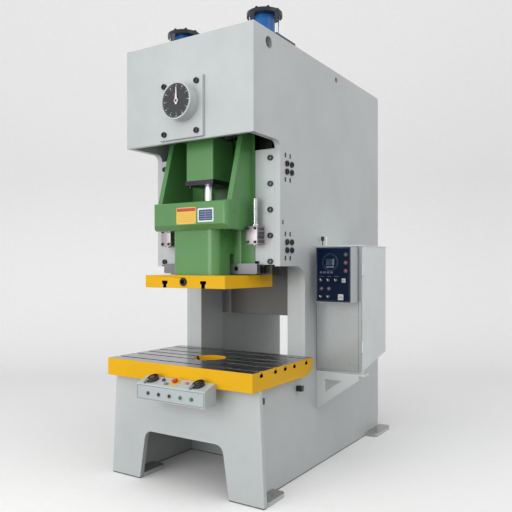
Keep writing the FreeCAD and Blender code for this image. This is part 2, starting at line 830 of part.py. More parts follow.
guide_outline = [
    ("wing_half + guide_gap", GIB_BACK), (INNER, GIB_BACK),
    (INNER, RAIL_FRONT + " + guide_back_t"), ("guide_inner_x", RAIL_FRONT + " + guide_back_t"),
    ("guide_inner_x", RAIL_FRONT), ("wing_half + guide_gap", RAIL_FRONT),
]
node(both_sides("slide_guides", plate("slide_guide", "xy", guide_outline, "gib_bottom", "gib_top - gib_bottom")))


def cap_screw(name, radius, head, socket, socket_deep, at):
    """Head of a socket screw that points to the front."""
    seat = (at[0], "%s - %s" % (at[1], head), at[2])
    hollow = (at[0], "%s - %s - overrun" % (at[1], head), at[2])
    return cut(name, rod(name + "_head", radius, seat, head, "y"),
               [rod(name + "_socket", socket, hollow, socket_deep + " + overrun", "y")])


right_screws = []
for row in range(5):
    right_screws.append(cap_screw("gib_bolt%d" % row, "cap_screw_r", "cap_screw_head", "socket_r", "socket_depth",
                                  ("gib_bolt_x", "guide_depth", "gib_bolt_first + %d * gib_bolt_pitch" % row)))
DIAL_PLATE_MIDDLE = "((dial_plate_low + dial_plate_high) / 2)"
dial_screws = []
for row in (-1, 1):
    for side in (-1, 1):
        dial_screws.append(cap_screw("dial_bolt%d%d" % (row + 1, side + 1), "cap_screw_r", "cap_screw_head",
                                     "socket_r", "socket_depth",
                                     ("dial_plate_x + %d * dial_bolt_x" % side, "crown_depth - dial_plate_t",
                                      DIAL_PLATE_MIDDLE + " + %d * dial_bolt_z" % row)))
BRACKET_MIDDLE_X = "(bracket_x + bracket_width / 2)"
BRACKET_MIDDLE_Z = "((bracket_low + bracket_high) / 2)"
BRACKET_FRONT = "(guide_depth - bracket_reach)"
for row in (-1, 1):
    for side in (-1, 1):
        right_screws.append(cap_screw("bracket_bolt%d%d" % (row + 1, side + 1),
                                      "small_screw_r", "small_screw_head", "socket_r / 2", "socket_depth / 2",
                                      (BRACKET_MIDDLE_X + " + %d * bracket_bolt_x" % side, BRACKET_FRONT,
                                       BRACKET_MIDDLE_Z + " + %d * bracket_bolt_z" % row)))
node(group("cap_screws", [both_sides("cap_screws_sides", group("cap_screws_right", right_screws))] + dial_screws))

side_screws = []
for place_name, height in (("low", "side_screw_low"), ("high", "side_screw_high")):
    for column in (0, 1):
        for row in (-1, 1):
            tag = "%s%d%d" % (place_name, column, row + 1)
            depth = "side_screw_depth + %d * side_screw_pitch" % column
            big = rod("gib_screw_" + tag, "side_screw_r",
                      ("half_width", depth, height + " + %d * side_screw_rise" % row), "side_screw_head", "x")
            small = rod("gib_lock_" + tag, "side_lock_r",
                        ("half_width", depth + " - side_lock_shift", height + " + %d * side_lock_rise" % row),
                        "side_lock_head", "x")
            side_screws += [big, small]
node(both_sides("gib_screws", group("gib_screws_right", side_screws)))

# ---------------------------------------------------------------- slide

BALL_AT = ("0", "slide_axis_depth", "ball_z")
lower_outline = [
    ("-slide_half", "slide_front"), ("slide_half", "slide_front"),
    ("slide_half", "back_web_depth"), ("-slide_half", "back_web_depth"),
]
lower_block = plate("slide_lower", "xy", lower_outline, "slide_bottom", "socket_cap_bottom - slide_bottom",
                    [([("-slide_half", "slide_front"), ("slide_half", "slide_front")], "slide_corner_r")])
SHOULDER = "(gib_inner_x - guide_step_gap)"
wing_outline = [
    ("-" + SHOULDER, "guide_depth"), (SHOULDER, "guide_depth"),
    (SHOULDER, GIB_BACK + " + guide_gap"), ("wing_half", GIB_BACK + " + guide_gap"),
    ("wing_half", WING_BACK), ("-wing_half", WING_BACK),
    ("-wing_half", GIB_BACK + " + guide_gap"), ("-" + SHOULDER, GIB_BACK + " + guide_gap"),
]
wings = plate("slide_wings", "xy", wing_outline, "slide_bottom", "slide_top - slide_bottom")
band_outline = [
    ("band_front", "band_bottom + band_bevel"), ("band_front + band_bevel", "band_bottom"),
    ("guide_depth", "band_bottom"), ("guide_depth", "band_top"), ("band_front", "band_top"),
]
band = plate("slide_band", "yz", band_outline, "-band_half", "2 * band_half",
             [([("band_front", "band_top")], "band_corner_r")])
band_corner = box("band_corner", ("band_half - band_side_r", "band_front - overrun", "band_bottom - overrun"),
                  ("band_half + overrun", "band_front + band_side_r", "band_top + overrun"))
band_side = rod("band_side", "band_side_r", ("band_half - band_side_r", "band_front + band_side_r",
                                             "band_bottom - 2 * overrun"), "band_top - band_bottom + 4 * overrun")
band_trim = cut("band_trim", band_corner, [band_side])
rounded_band = cut("rounded_band", band, [band_trim, mirrored("band_trim_other", band_trim)])
ear_outline = [
    ("guide_depth", "band_bottom"), ("guide_depth", "slide_top"), ("ear_head_depth", "slide_top"),
    ("ear_foot_depth", "band_top"), ("ear_foot_depth", "band_bottom"),
]
ear = plate("slide_ear", "yz", ear_outline, "band_half - ear_t", "ear_t")
FILLET_OUT = "(slide_half + slide_fillet_r)"
fillet_block = box("slide_fillet_block", ("slide_half", "guide_depth - slide_fillet_r", "slide_bottom"),
                   (FILLET_OUT, "guide_depth", "band_bottom + overrun"))
fillet_round = rod("slide_fillet_round", "slide_fillet_r", (FILLET_OUT, "guide_depth - slide_fillet_r", "slide_bottom - overrun"),
                   "band_bottom - slide_bottom + 3 * overrun")
fillet = cut("slide_fillet", fillet_block, [fillet_round])
slide_blank = fuse("slide_blank", [lower_block, wings, rounded_band, ear, mirrored("slide_ear_other", ear),
                                   fillet, mirrored("slide_fillet_other", fillet)])
slide_cuts = [
    box("slide_pocket", ("-band_half + ear_t", "band_front + ear_t", "socket_cap_bottom"),
        ("band_half - ear_t", "back_web_depth", "slide_top + overrun")),
    rod("socket_bore", "socket_bore_r + seat_gap", ("0", "slide_axis_depth", "socket_floor"), "stroke"),
    box("knock_slot", ("-" + FILLET_OUT, "slide_axis_depth - knock_slot_width / 2", "knock_slot_floor"),
        (FILLET_OUT, "slide_axis_depth + knock_slot_width / 2", "knock_slot_top")),
]
node(cut("slide", slide_blank, slide_cuts))

cup = rod("cup_blank", "socket_bore_r", ("0", "slide_axis_depth", "socket_floor"), "socket_cup_top - socket_floor")
cap = rod("cap_blank", "socket_cap_r", ("0", "slide_axis_depth", "socket_cap_bottom"),
          "socket_cap_top - socket_cap_bottom")
cap_bore = rod("cap_bore", "socket_cap_bore", ("0", "slide_axis_depth", "socket_cap_bottom"), "socket_cap_top")
node(group("ball_socket", [
    cut("socket_cup", cup, [ball("cup_hollow", "ball_r + ball_gap", BALL_AT)]),
    cut("socket_cap", cap, [ball("cap_hollow", "ball_r + ball_gap", BALL_AT), cap_bore]),
]))

PLATE_LOW = "(slide_bottom - slide_plate_t)"
plate_blank = box("slide_plate_blank", ("-slide_plate_half", "slide_plate_front", PLATE_LOW),
                  ("slide_plate_half", "slide_plate_front + slide_plate_length", "slide_bottom"))
PLATE_BACK = "slide_plate_front + slide_plate_length + overrun"
SHANK_SCREW_Z = PLATE_LOW + " + slide_plate_t / 2"
SHANK_SCREW_LENGTH = "(slide_axis_depth - shank_r - shank_wall - slide_plate_front)"
plate_cuts = [
    rod("shank_bore", "shank_r", ("0", "slide_axis_depth", PLATE_LOW + " - overrun"), "slide_plate_t + 2 * overrun"),
    rod("shank_screw_bore", "shank_screw_r + seat_gap", ("0", "slide_plate_front - overrun", SHANK_SCREW_Z),
        SHANK_SCREW_LENGTH + " + overrun", "y"),
    rod("shank_tip_bore", "shank_tip_r + seat_gap", ("0", "slide_plate_front", SHANK_SCREW_Z),
        "slide_axis_depth - slide_plate_front", "y"),
]
for side in (-1, 1):
    middle = "%d * slide_tslot_x" % side
    plate_cuts.append(box("slide_mouth%d" % (side + 1),
                          (middle + " - slide_mouth / 2", "slide_plate_front - overrun", PLATE_LOW + " - overrun"),
                          (middle + " + slide_mouth / 2", PLATE_BACK, PLATE_LOW + " + slide_mouth_depth")))
    plate_cuts.append(box("slide_tee%d" % (side + 1),
                          (middle + " - slide_tee_width / 2", "slide_plate_front - overrun",
                           PLATE_LOW + " + slide_mouth_depth"),
                          (middle + " + slide_tee_width / 2", PLATE_BACK,
                           PLATE_LOW + " + slide_mouth_depth + slide_tee_height")))
node(cut("slide_plate", plate_blank, plate_cuts))
shank_screw_body = rod("shank_screw_body", "shank_screw_r",
                       ("0", "slide_plate_front - shank_screw_proud", SHANK_SCREW_Z),
                       SHANK_SCREW_LENGTH + " + shank_screw_proud - seat_gap", "y")
shank_screw_tip = rod("shank_screw_tip", "shank_tip_r", ("0", "slide_plate_front", SHANK_SCREW_Z),
                      "slide_axis_depth - slide_plate_front - shank_r - overrun", "y")
node(fuse("shank_screw", [shank_screw_body, shank_screw_tip]))

bar_outline = [
    ("-knock_bar_half", "knock_slot_floor"), ("knock_bar_half", "knock_slot_floor"),
    ("knock_bar_half", "knock_slot_floor + knock_bar_height"),
    ("-knock_bar_half", "knock_slot_floor + knock_bar_height"),
]
bar_blank = plate("knockout_bar_blank", "xz", bar_outline, "slide_axis_depth - knock_bar_t / 2", "knock_bar_t",
                  [(bar_outline, "knock_bar_round")])
bar_holes = [
    rod("bar_hole%d" % (side + 1), "knock_hole_r",
        ("%d * knock_hole_x" % side,
         "slide_axis_depth - knock_bar_t / 2 - overrun", "knock_slot_floor + knock_bar_height / 2"),
        "knock_bar_t + 2 * overrun", "y")
    for side in (-1, 1)
]
node(cut("knockout_bar", bar_blank, bar_holes))

bracket_blank = box("bracket_blank", ("bracket_x", BRACKET_FRONT, "bracket_low"),
                    ("bracket_x + bracket_width", "guide_depth", "bracket_high"))
bracket_bore = rod("bracket_bore", "stop_screw_r + seat_gap",
                   ("stop_screw_x", "slide_axis_depth", "bracket_low - overrun"),
                   "bracket_high - bracket_low + 2 * overrun")
bracket_relief = box("bracket_relief", ("bracket_x + bracket_width - bracket_lug",
                                        BRACKET_FRONT + " + bracket_lug", "bracket_low - overrun"),
                     ("bracket_x + bracket_width + overrun", "guide_depth - 2 * bracket_lug", "bracket_high + overrun"))
node(both_sides("knockout_brackets", cut("knockout_bracket", bracket_blank, [bracket_bore, bracket_relief])))
stop_screw = rod("stop_screw_shank", "stop_screw_r", ("stop_screw_x", "slide_axis_depth", "stop_screw_low"),
                 "stop_screw_high - stop_screw_low")
stop_nut = rod("stop_nut", "stop_nut_r", ("stop_screw_x", "slide_axis_depth", "bracket_high"), "stop_nut_t")
node(both_sides("knockout_stop_screws", fuse("stop_screw", [stop_screw, stop_nut])))

# ---------------------------------------------------------------- connecting rod

EYE_Z = "(crank_z + stroke / 2)"     # the slide is at the top of its stroke
rod_outline = [
    ("-rod_half_x", "slide_axis_depth - rod_half_y"), ("rod_half_x", "slide_axis_depth - rod_half_y"),
    ("rod_half_x", "slide_axis_depth + rod_half_y"), ("-rod_half_x", "slide_axis_depth + rod_half_y"),
]
rod_block = plate("rod_block", "xy", rod_outline, "rod_bottom", "rod_top - rod_bottom", [(rod_outline, "rod_corner_r")])
RING_FRONT = "slide_axis_depth - rod_ring_half"
RING_BACK = "slide_axis_depth + rod_ring_half"
rod_neck = box("rod_neck", ("-rod_neck_half", RING_FRONT, "rod_top"), ("rod_neck_half", RING_BACK, EYE_Z))


def ring_half(name, low, high, lug_low, lug_high, extra):
    """Half of the big end with its two bolt lugs, between two heights."""
    ring = rod(name + "_ring", "rod_ring_r", ("0", RING_FRONT, EYE_Z), "2 * rod_ring_half", "y")
    lugs = box(name + "_lugs", ("-rod_lug_x", RING_FRONT, lug_low), ("rod_lug_x", RING_BACK, lug_high))
    eye = rod(name + "_eye", "rod_eye_r", ("0", RING_FRONT + " - overrun", EYE_Z),
              "2 * rod_ring_half + 2 * overrun", "y")
    away = box(name + "_away", ("-rod_lug_x - overrun", RING_FRONT + " - overrun", low),
               ("rod_lug_x + overrun", RING_BACK + " + overrun", high))
    return fuse(name + "_blank", [cut(name + "_part", ring, [away]), lugs] + extra), eye


rod_half, rod_eye = ring_half("rod_half", EYE_Z, EYE_Z + " + rod_ring_r + overrun",
                              EYE_Z + " - rod_lug_half", EYE_Z, [rod_block, rod_neck])
SCREW_RUNOUT = "(die_height_range + overrun)"
rod_thread = rod("rod_thread", "screw_r + screw_gap", ("0", "slide_axis_depth", "rod_bottom - overrun"),
                 "screw_top - rod_bottom + overrun + " + SCREW_RUNOUT)
node(cut("connecting_rod", rod_half, [rod_eye, rod_thread]))
CAP_LOW = EYE_Z + " + seat_gap"
cap_half, cap_eye = ring_half("cap_half", EYE_Z + " - rod_ring_r - overrun", CAP_LOW,
                              CAP_LOW, CAP_LOW + " + rod_lug_half", [])
node(cut("rod_cap", cap_half, [cap_eye]))

FLANGE_LOW = "(rod_bottom - flange_t)"
flange_blank = box("flange_blank", ("-rod_half_x - flange_lap", "slide_axis_depth - rod_half_y - flange_lap",
                                    FLANGE_LOW),
                   ("rod_half_x + flange_lap", "slide_axis_depth + rod_half_y + flange_lap", "rod_bottom"))
flange_parts = [flange_blank]
for side in (-1, 1):
    for end in (-1, 1):
        flange_parts.append(rod("flange_nut%d%d" % (side + 1, end + 1), "flange_nut_r",
                                ("%d * (rod_half_x - 2 * flange_nut_r)" % side,
                                 "slide_axis_depth + %d * (rod_half_y - 2 * flange_nut_r)" % end,
                                 FLANGE_LOW + " - flange_nut_h"), "flange_nut_h + overrun"))
flange_bore = rod("flange_bore", "screw_r + screw_gap", ("0", "slide_axis_depth", FLANGE_LOW + " - overrun"),
                  "flange_t + 2 * overrun")
node(cut("rod_flange", fuse("flange_and_nuts", flange_parts), [flange_bore]))
screw_shank = rod("screw_shank", "screw_r", BALL_AT, "screw_top - ball_z")
node(fuse("adjusting_screw", [screw_shank, ball("screw_ball", "ball_r", BALL_AT)]))

# ---------------------------------------------------------------- crankshaft and gears

WEB_FRONT = "(slide_axis_depth - rod_ring_half - web_gap - web_t)"
WEB_BACK = "(slide_axis_depth + rod_ring_half + web_gap)"
DIAL_FRONT = "(crown_depth - dial_plate_t - dial_length)"
POINTER_BACK = "(%s + dial_recess - pointer_lift)" % DIAL_FRONT
node(fuse("crankshaft", [
    rod("spindle", "spindle_r", ("0", POINTER_BACK, "crank_z"), "front_wall_depth - " + POINTER_BACK, "y"),
    rod("front_journal", "front_journal_r", ("0", "front_wall_depth", "crank_z"),
        WEB_FRONT + " - front_wall_depth", "y"),
    rod("front_web", "web_r", ("0", WEB_FRONT, "crank_z"), "web_t", "y"),
    rod("crank_pin", "crank_pin_r", ("0", WEB_FRONT, EYE_Z), WEB_BACK + " - " + WEB_FRONT, "y"),
    rod("back_web", "web_r", ("0", WEB_BACK, "crank_z"), "web_t", "y"),
    rod("rear_journal", "rear_journal_r", ("0", WEB_BACK, "crank_z"), "crank_end_depth - " + WEB_BACK, "y"),
]))


def gear_shape(teeth, face, pointing):
    """Spur gear along Y: a tooth, or a gap for the smaller gear, points straight down or up."""
    module = val("gear_module")
    pitch_r = module * teeth / 2
    base_r = pitch_r * math.cos(math.radians(20))
    root_r = pitch_r - 1.25 * module
    tip_r = pitch_r + val("gear_addendum") * module
    half_at_pitch = (math.pi * module / 2 - val("gear_backlash") / 2) / 2 / pitch_r

    def half_angle(radius):
        """Half of the tooth's angle at a radius: involute above the base circle, radial below it."""
        roll = math.acos(base_r / max(radius, base_r))
        return half_at_pitch + math.tan(math.radians(20)) - math.radians(20) - (math.tan(roll) - roll)

    radii = [root_r, max(base_r, root_r + 1), pitch_r, tip_r]
    points = []
    for tooth in range(teeth):
        middle = pointing + tooth * 2 * math.pi / teeth
        flank = [(radius, middle - half_angle(radius)) for radius in radii]
        flank += [(radius, middle + half_angle(radius)) for radius in reversed(radii)]
        points += [FreeCAD.Vector(radius * math.cos(angle), 0, radius * math.sin(angle))
                   for radius, angle in flank]
    face_wire = Part.makePolygon(points + points[:1])
    return Part.Face(face_wire).extrude(FreeCAD.Vector(0, face, 0))


big_gear = solid("big_gear", gear_shape(int(val("gear_teeth")), val("gear_face"), -math.pi / 2),
                 ("0", "gear_front", "crank_z"))
RIM_INNER = "(gear_module * gear_teeth / 2 - gear_rim)"
gear_cuts = [rod("gear_bore", "rear_journal_r + seat_gap", ("0", "gear_front - overrun", "crank_z"),
                 "gear_face + 2 * overrun", "y")]
for side, depth in (("front", "gear_front - overrun"),
                    ("back", "gear_front + (gear_face + gear_web_t) / 2")):
    length = "(gear_face - gear_web_t) / 2 + overrun"
    dish = rod("gear_dish_" + side, RIM_INNER, ("0", depth, "crank_z"), length, "y")
    hub = rod("gear_hub_" + side, "gear_hub_r", ("0", depth, "crank_z"), length, "y")
    gear_cuts.append(cut("gear_recess_" + side, dish, [hub]))
for number in range(int(val("gear_windows"))):
    angle = math.radians(number * 360 / val("gear_windows"))
    radius = "(%s + gear_hub_r) / 2" % RIM_INNER
    gear_cuts.append(rod("gear_window%d" % number, "gear_window_r",
                         ("%.6f * %s" % (math.cos(angle), radius), "gear_front - overrun",
                          "crank_z + %.6f * %s" % (math.sin(angle), radius)),
                         "gear_face + 2 * overrun", "y"))
node(cut("main_gear", big_gear, gear_cuts))

PINION_FRONT = "(gear_front - pinion_extra / 2)"
PINION_POINTING = math.pi / 2 + math.pi / val("pinion_teeth")
small_gear = solid("small_gear",
                   gear_shape(int(val("pinion_teeth")), val("gear_face + pinion_extra"), PINION_POINTING),
                   ("0", PINION_FRONT, PINION_Z))
pinion_rod = rod("pinion_rod", "pinion_shaft_r", ("0", PINION_FRONT, PINION_Z),
                 "pinion_shaft_end - " + PINION_FRONT, "y")
node(fuse("pinion_shaft", [small_gear, pinion_rod]))

# ---------------------------------------------------------------- flywheel, clutch, motor

FLYWHEEL_MIDDLE = "(flywheel_front + flywheel_t / 2)"
BELT_PLANES = ["%s + %d * belt_pitch" % (FLYWHEEL_MIDDLE, number - 1) for number in range(3)]


def grooves(name, radius, height):
    """Cutting rings that leave room for the belts."""
    rings = []
    for number, middle in enumerate(BELT_PLANES):
        at = ("0", "%s - belt_width / 2 - belt_gap" % middle, height)
        outer = rod("%s_out%d" % (name, number), radius + " + overrun", at, "belt_width + 2 * belt_gap", "y")
        inner = rod("%s_in%d" % (name, number), radius + " - belt_t - belt_gap", at,
                    "belt_width + 2 * belt_gap", "y")
        rings.append(cut("%s_ring%d" % (name, number), outer, [inner]))
    return rings


wheel = rod("flywheel_blank", "flywheel_r", ("0", "flywheel_front", PINION_Z), "flywheel_t", "y")
wheel_cuts = [rod("flywheel_bore", "pinion_shaft_r + flywheel_gap", ("0", "flywheel_front - overrun", PINION_Z),
                  "flywheel_t + 2 * overrun", "y")]
for side, depth in (("front", "flywheel_front - overrun"),
                    ("back", "flywheel_front + (flywheel_t + flywheel_web_t) / 2")):
    length = "(flywheel_t - flywheel_web_t) / 2 + overrun"
    dish = rod("flywheel_dish_" + side, "flywheel_r - flywheel_rim", ("0", depth, PINION_Z), length, "y")
    hub = rod("flywheel_hub_" + side, "flywheel_hub_r", ("0", depth, PINION_Z), length, "y")
    wheel_cuts.append(cut("flywheel_recess_" + side, dish, [hub]))
node(cut("flywheel", wheel, wheel_cuts + grooves("flywheel_groove", "flywheel_r", PINION_Z)))

CLUTCH_FRONT = "(flywheel_front + flywheel_t + clutch_gap)"
clutch_parts = [rod("clutch_drum", "clutch_r", ("0", CLUTCH_FRONT, PINION_Z), "clutch_t", "y")]
for number in range(int(val("clutch_fins"))):
    clutch_parts.append(rod("clutch_fin%d" % number, "clutch_r + clutch_fin_rise",
                            ("0", CLUTCH_FRONT + " + %d * clutch_t / clutch_fins + clutch_fin_t" % number, PINION_Z),
                            "clutch_fin_t", "y"))
clutch_bore = rod("clutch_bore", "pinion_shaft_r + seat_gap", ("0", CLUTCH_FRONT + " - overrun", PINION_Z),
                  "clutch_t + 2 * overrun", "y")
node(cut("clutch_brake", fuse("clutch_blank", clutch_parts), [clutch_bore]))

MOTOR_Z = "(bay_floor_z + bay_floor_t + motor_shaft_height)"
MOTOR_FRONT = "(motor_end - motor_length)"
motor_parts = [
    rod("motor_barrel", "motor_r", ("0", MOTOR_FRONT, MOTOR_Z), "motor_length", "y"),
    box("motor_foot", ("-motor_foot_half", MOTOR_FRONT, "bay_floor_z + bay_floor_t"),
        ("motor_foot_half", "motor_end", "bay_floor_z + bay_floor_t + motor_foot_t")),
    box("motor_pedestal", ("-motor_foot_half / 2", MOTOR_FRONT, "bay_floor_z + bay_floor_t"),
        ("motor_foot_half / 2", "motor_end", MOTOR_Z)),
]
for number in range(int(val("motor_ribs"))):
    motor_parts.append(rod("motor_rib%d" % number, "motor_r + motor_rib_rise",
                           ("0", MOTOR_FRONT + " + %d * motor_length / motor_ribs + motor_rib_t" % number, MOTOR_Z),
                           "motor_rib_t", "y"))
motor_bore = rod("motor_bore", "motor_shaft_r + seat_gap", ("0", "motor_end - motor_length / 2", MOTOR_Z),
                 "motor_length", "y")
node(cut("motor", fuse("motor_blank", motor_parts), [motor_bore]))
PULLEY_FRONT = "(%s - pulley_width / 2)" % FLYWHEEL_MIDDLE
pulley = fuse("pulley_blank", [
    rod("pulley_rim", "pulley_r", ("0", PULLEY_FRONT, MOTOR_Z), "pulley_width", "y"),
    rod("motor_rotor", "motor_shaft_r", ("0", "motor_end - motor_length / 2 + overrun", MOTOR_Z),
        "%s + pulley_width - motor_end + motor_length / 2" % PULLEY_FRONT, "y"),
])
node(cut("motor_pulley", pulley, grooves("pulley_groove", "pulley_r", MOTOR_Z)))


def belt_hull(big_r, small_r, distance, width):
    """Solid between two parallel cylinders and their two outer tangent planes."""
    lean = math.asin((big_r - small_r) / distance)
    corners = []
    for side in (1, -1):
        for radius, height in (((big_r, 0), (small_r, -distance)) if side == 1
                               else ((small_r, -distance), (big_r, 0))):
            corners.append(FreeCAD.Vector(side * radius * math.cos(lean), 0, height - radius * math.sin(lean)))
    middle = Part.Face(Part.makePolygon(corners + corners[:1])).extrude(FreeCAD.Vector(0, width, 0))
    along = FreeCAD.Vector(0, 1, 0)
    big = Part.makeCylinder(big_r, width, FreeCAD.Vector(), along)
    small = Part.makeCylinder(small_r, width, FreeCAD.Vector(0, 0, -distance), along)
    return middle.fuse([big, small])


BELT_REACH = val("%s - %s" % (PINION_Z, MOTOR_Z))
BELT_LIFT = val("belt_t")
belt_outer = belt_hull(val("flywheel_r"), val("pulley_r"), BELT_REACH, val("belt_width"))
belt_inner = belt_hull(val("flywheel_r") - BELT_LIFT, val("pulley_r") - BELT_LIFT, BELT_REACH, val("belt_width"))
belt_loop = belt_outer.cut(belt_inner)
node(group("v_belts", [
    solid("v_belt%d" % number, belt_loop.copy(), ("0", "%s - belt_width / 2" % middle, PINION_Z))
    for number, middle in enumerate(BELT_PLANES)
]))

# ---------------------------------------------------------------- balance cylinders

BALANCE_TOP = "(press_height + balance_plate_t)"
balance_blank = box("balance_blank", ("-balance_plate_half", "balance_depth - balance_plate_length / 2",
                                      "press_height"),
                    ("balance_plate_half", "balance_depth + balance_plate_length / 2", BALANCE_TOP))
node(cut("balance_plate", balance_blank, [balance_hole("balance_plate_hole", "press_height", BALANCE_TOP)]))


def balance_rod(name, radius, low, length):
    return rod(name, radius, ("balance_x", "balance_depth", low), length)


cylinder_parts = [
    balance_rod("cylinder_shell", "balance_r", "balance_low", "balance_high - balance_low"),
    balance_rod("cylinder_flange", "balance_flange_r", "balance_high - balance_flange_t", "balance_flange_t"),
]
for number in range(int(val("balance_studs"))):
    angle = math.radians(number * 360 / val("balance_studs"))
    cylinder_parts.append(rod("cylinder_stud%d" % number, "balance_stud_r",
                              ("balance_x + %.6f * balance_stud_ring" % math.cos(angle),
                               "balance_depth + %.6f * balance_stud_ring" % math.sin(angle), "balance_high - overrun"),
                              "balance_stud_rise + overrun"))
cylinder_cuts = [
    balance_rod("cylinder_bore", "balance_r - balance_wall", "balance_low + balance_wall",
                "balance_high - balance_low - balance_wall - balance_flange_t"),
    balance_rod("cylinder_gland", "balance_rod_r + balance_rod_gap", "balance_low - overrun", "balance_wall + 2 * overrun"),
]
node(both_sides("balance_cylinders", cut("balance_cylinder", fuse("cylinder_blank", cylinder_parts), cylinder_cuts)))
node(both_sides("balance_rods", fuse("balance_rod", [
    balance_rod("balance_shank", "balance_rod_r", "slide_top", "balance_piston_z - slide_top"),
    balance_rod("balance_piston", "balance_r - balance_wall - balance_piston_gap", "balance_piston_z",
                "balance_piston_t"),
])))

# ---------------------------------------------------------------- angle dial

dial_plate = box("dial_plate_blank", ("dial_plate_x - dial_plate_half", "crown_depth - dial_plate_t", "dial_plate_low"),
                 ("dial_plate_x + dial_plate_half", "crown_depth", "dial_plate_high"))


def dial_bore(name):
    return rod(name, "dial_bore_r", ("0", DIAL_FRONT + " - overrun", "crank_z"), "dial_length + stroke", "y")


node(cut("dial_cover_plate", dial_plate, [dial_bore("dial_plate_bore")]))
dial_drum = rod("dial_drum", "dial_r", ("0", DIAL_FRONT, "crank_z"), "dial_length", "y")
dial_hollow = rod("dial_hollow", "dial_r - dial_rim", ("0", DIAL_FRONT + " - overrun", "crank_z"),
                  "dial_recess + overrun", "y")
node(cut("dial_case", dial_drum, [dial_hollow, dial_bore("dial_case_bore")]))
pointer_outline = [
    ("-pointer_half", "-pointer_tail"), ("pointer_half", "-pointer_tail"),
    ("pointer_tip", "pointer_length"), ("-pointer_tip", "pointer_length"),
]
pointer_body = plate("pointer_arm", "xz", [(a, "crank_z + (%s)" % b) for a, b in pointer_outline],
                     POINTER_BACK + " - pointer_t", "pointer_t")
pointer_hub = rod("pointer_hub", "pointer_hub_r", ("0", POINTER_BACK + " - 2 * pointer_t", "crank_z"),
                  "2 * pointer_t", "y")
node(fuse("dial_pointer", [pointer_body, pointer_hub]))

# ---------------------------------------------------------------- two-hand control box

BOX_LEFT = "(box_middle - box_half)"
box_outline = [
    ("box_front", "box_low"), ("box_back", "box_low"),
    ("box_back", "box_back_top"), ("box_front", "box_front_top"),
]
box_shell = plate("control_box_shell", "yz", box_outline, BOX_LEFT, "2 * box_half",
                  [([("box_front", "box_front_top"), ("box_back", "box_back_top")], "box_corner_r")])
box_arm = box("box_arm", ("box_middle - box_arm_half", "box_back", "box_arm_low"),
              ("box_middle + box_arm_half", "0", "box_arm_high"))
SLOPE = math.atan((val("box_back_top") - val("box_front_top")) / (val("box_back") - val("box_front")))
TILT = FreeCAD.Rotation(FreeCAD.Vector(1, 0, 0), math.degrees(SLOPE))


def on_top(offset_x, back, lift):
    """Point above the sloping top: x from the middle, distance to the rear edge, height along the normal."""
    depth = "box_back - (%s) - %.6f * (%s)" % (back, math.sin(SLOPE), lift)
    height = "box_back_top - %.6f * (%s) + %.6f * (%s)" % (math.tan(SLOPE), back, math.cos(SLOPE), lift)
    return ("box_middle + (%s)" % offset_x, depth, height)


def top_rod(name, radius, offset_x, back, low, high):
    """Cylinder square to the sloping top, between two lifts."""
    return rod(name, radius, on_top(offset_x, back, low), "(%s) - (%s)" % (high, low), TILT)


palm_bores = []
guards = []
for side, offset in (("left", "-palm_x"), ("right", "palm_x")):
    palm_bores.append(top_rod("palm_bore_" + side, "palm_stem_r + button_gap", offset, "top_button_back",
                              "-palm_stem_length - palm_travel - overrun", "overrun"))
    guard = top_rod("guard_" + side, "palm_guard_r", offset, "top_button_back", "-overrun", "palm_guard_t")
    guard_bore = top_rod("guard_bore_" + side, "palm_guard_r - palm_guard_wall", offset, "top_button_back",
                         "0", "palm_guard_t + overrun")
    guards.append(cut("palm_guard_" + side, guard, [guard_bore]))
    head = top_rod("palm_head_" + side, "palm_r", offset, "top_button_back",
                   "palm_travel + button_gap", "palm_travel + button_gap + palm_t")
    stem = top_rod("palm_stem_" + side, "palm_stem_r", offset, "top_button_back",
                   "-palm_stem_length", "palm_travel + palm_t / 2")
    node(fuse("palm_button_" + side, [head, stem]))
guards.append(top_rod("stop_collar", "stop_collar_r", "0", "top_button_back", "-overrun", "stop_collar_t"))
stop_bore = top_rod("stop_bore", "palm_stem_r + button_gap", "0", "top_button_back",
                    "-palm_stem_length - palm_travel - overrun", "stop_collar_t + overrun")
stop_head = top_rod("stop_head", "stop_r", "0", "top_button_back", "stop_collar_t + palm_travel + button_gap",
                    "stop_collar_t + palm_travel + button_gap + stop_t")
stop_stem = top_rod("stop_stem", "palm_stem_r", "0", "top_button_back",
                    "-palm_stem_length", "stop_collar_t + palm_travel + stop_t / 2")
node(fuse("emergency_stop", [stop_head, stop_stem]))
node(top_rod("box_selector", "selector_r", "-selector_x", "top_button_back", "button_gap", "button_gap + selector_t"))
top_lamps = [
    top_rod("pink_lamp", "selector_r", "selector_x", "top_button_back", "-overrun", "selector_t / 2"),
    top_rod("olive_lamp", "selector_r", "-selector_x / 2", "top_button_back + lamp_step", "-overrun", "selector_t / 2"),
]
front_bores = []
for number in range(5):
    spot = "box_middle + %d * front_button_pitch" % (number - 2)
    if number < 3:
        front_bores.append(rod("front_bore%d" % number, "front_button_r + button_gap",
                               (spot, "box_front - overrun", "front_button_z"),
                               "front_button_depth + overrun + front_button_travel + button_gap", "y"))
        node(rod("front_button_%d" % (number + 1), "front_button_r",
                 (spot, "box_front - front_button_proud", "front_button_z"),
                 "front_button_proud + front_button_depth", "y"))
    else:
        top_lamps.append(rod("front_lamp%d" % number, "front_button_r",
                             (spot, "box_front - front_button_proud", "front_button_z"),
                             "front_button_proud + overrun", "y"))
box_blank = fuse("control_box_blank", [box_shell, box_arm] + guards + top_lamps)
node(cut("control_box", box_blank, palm_bores + [stop_bore] + front_bores))

# ---------------------------------------------------------------- electrical cabinet

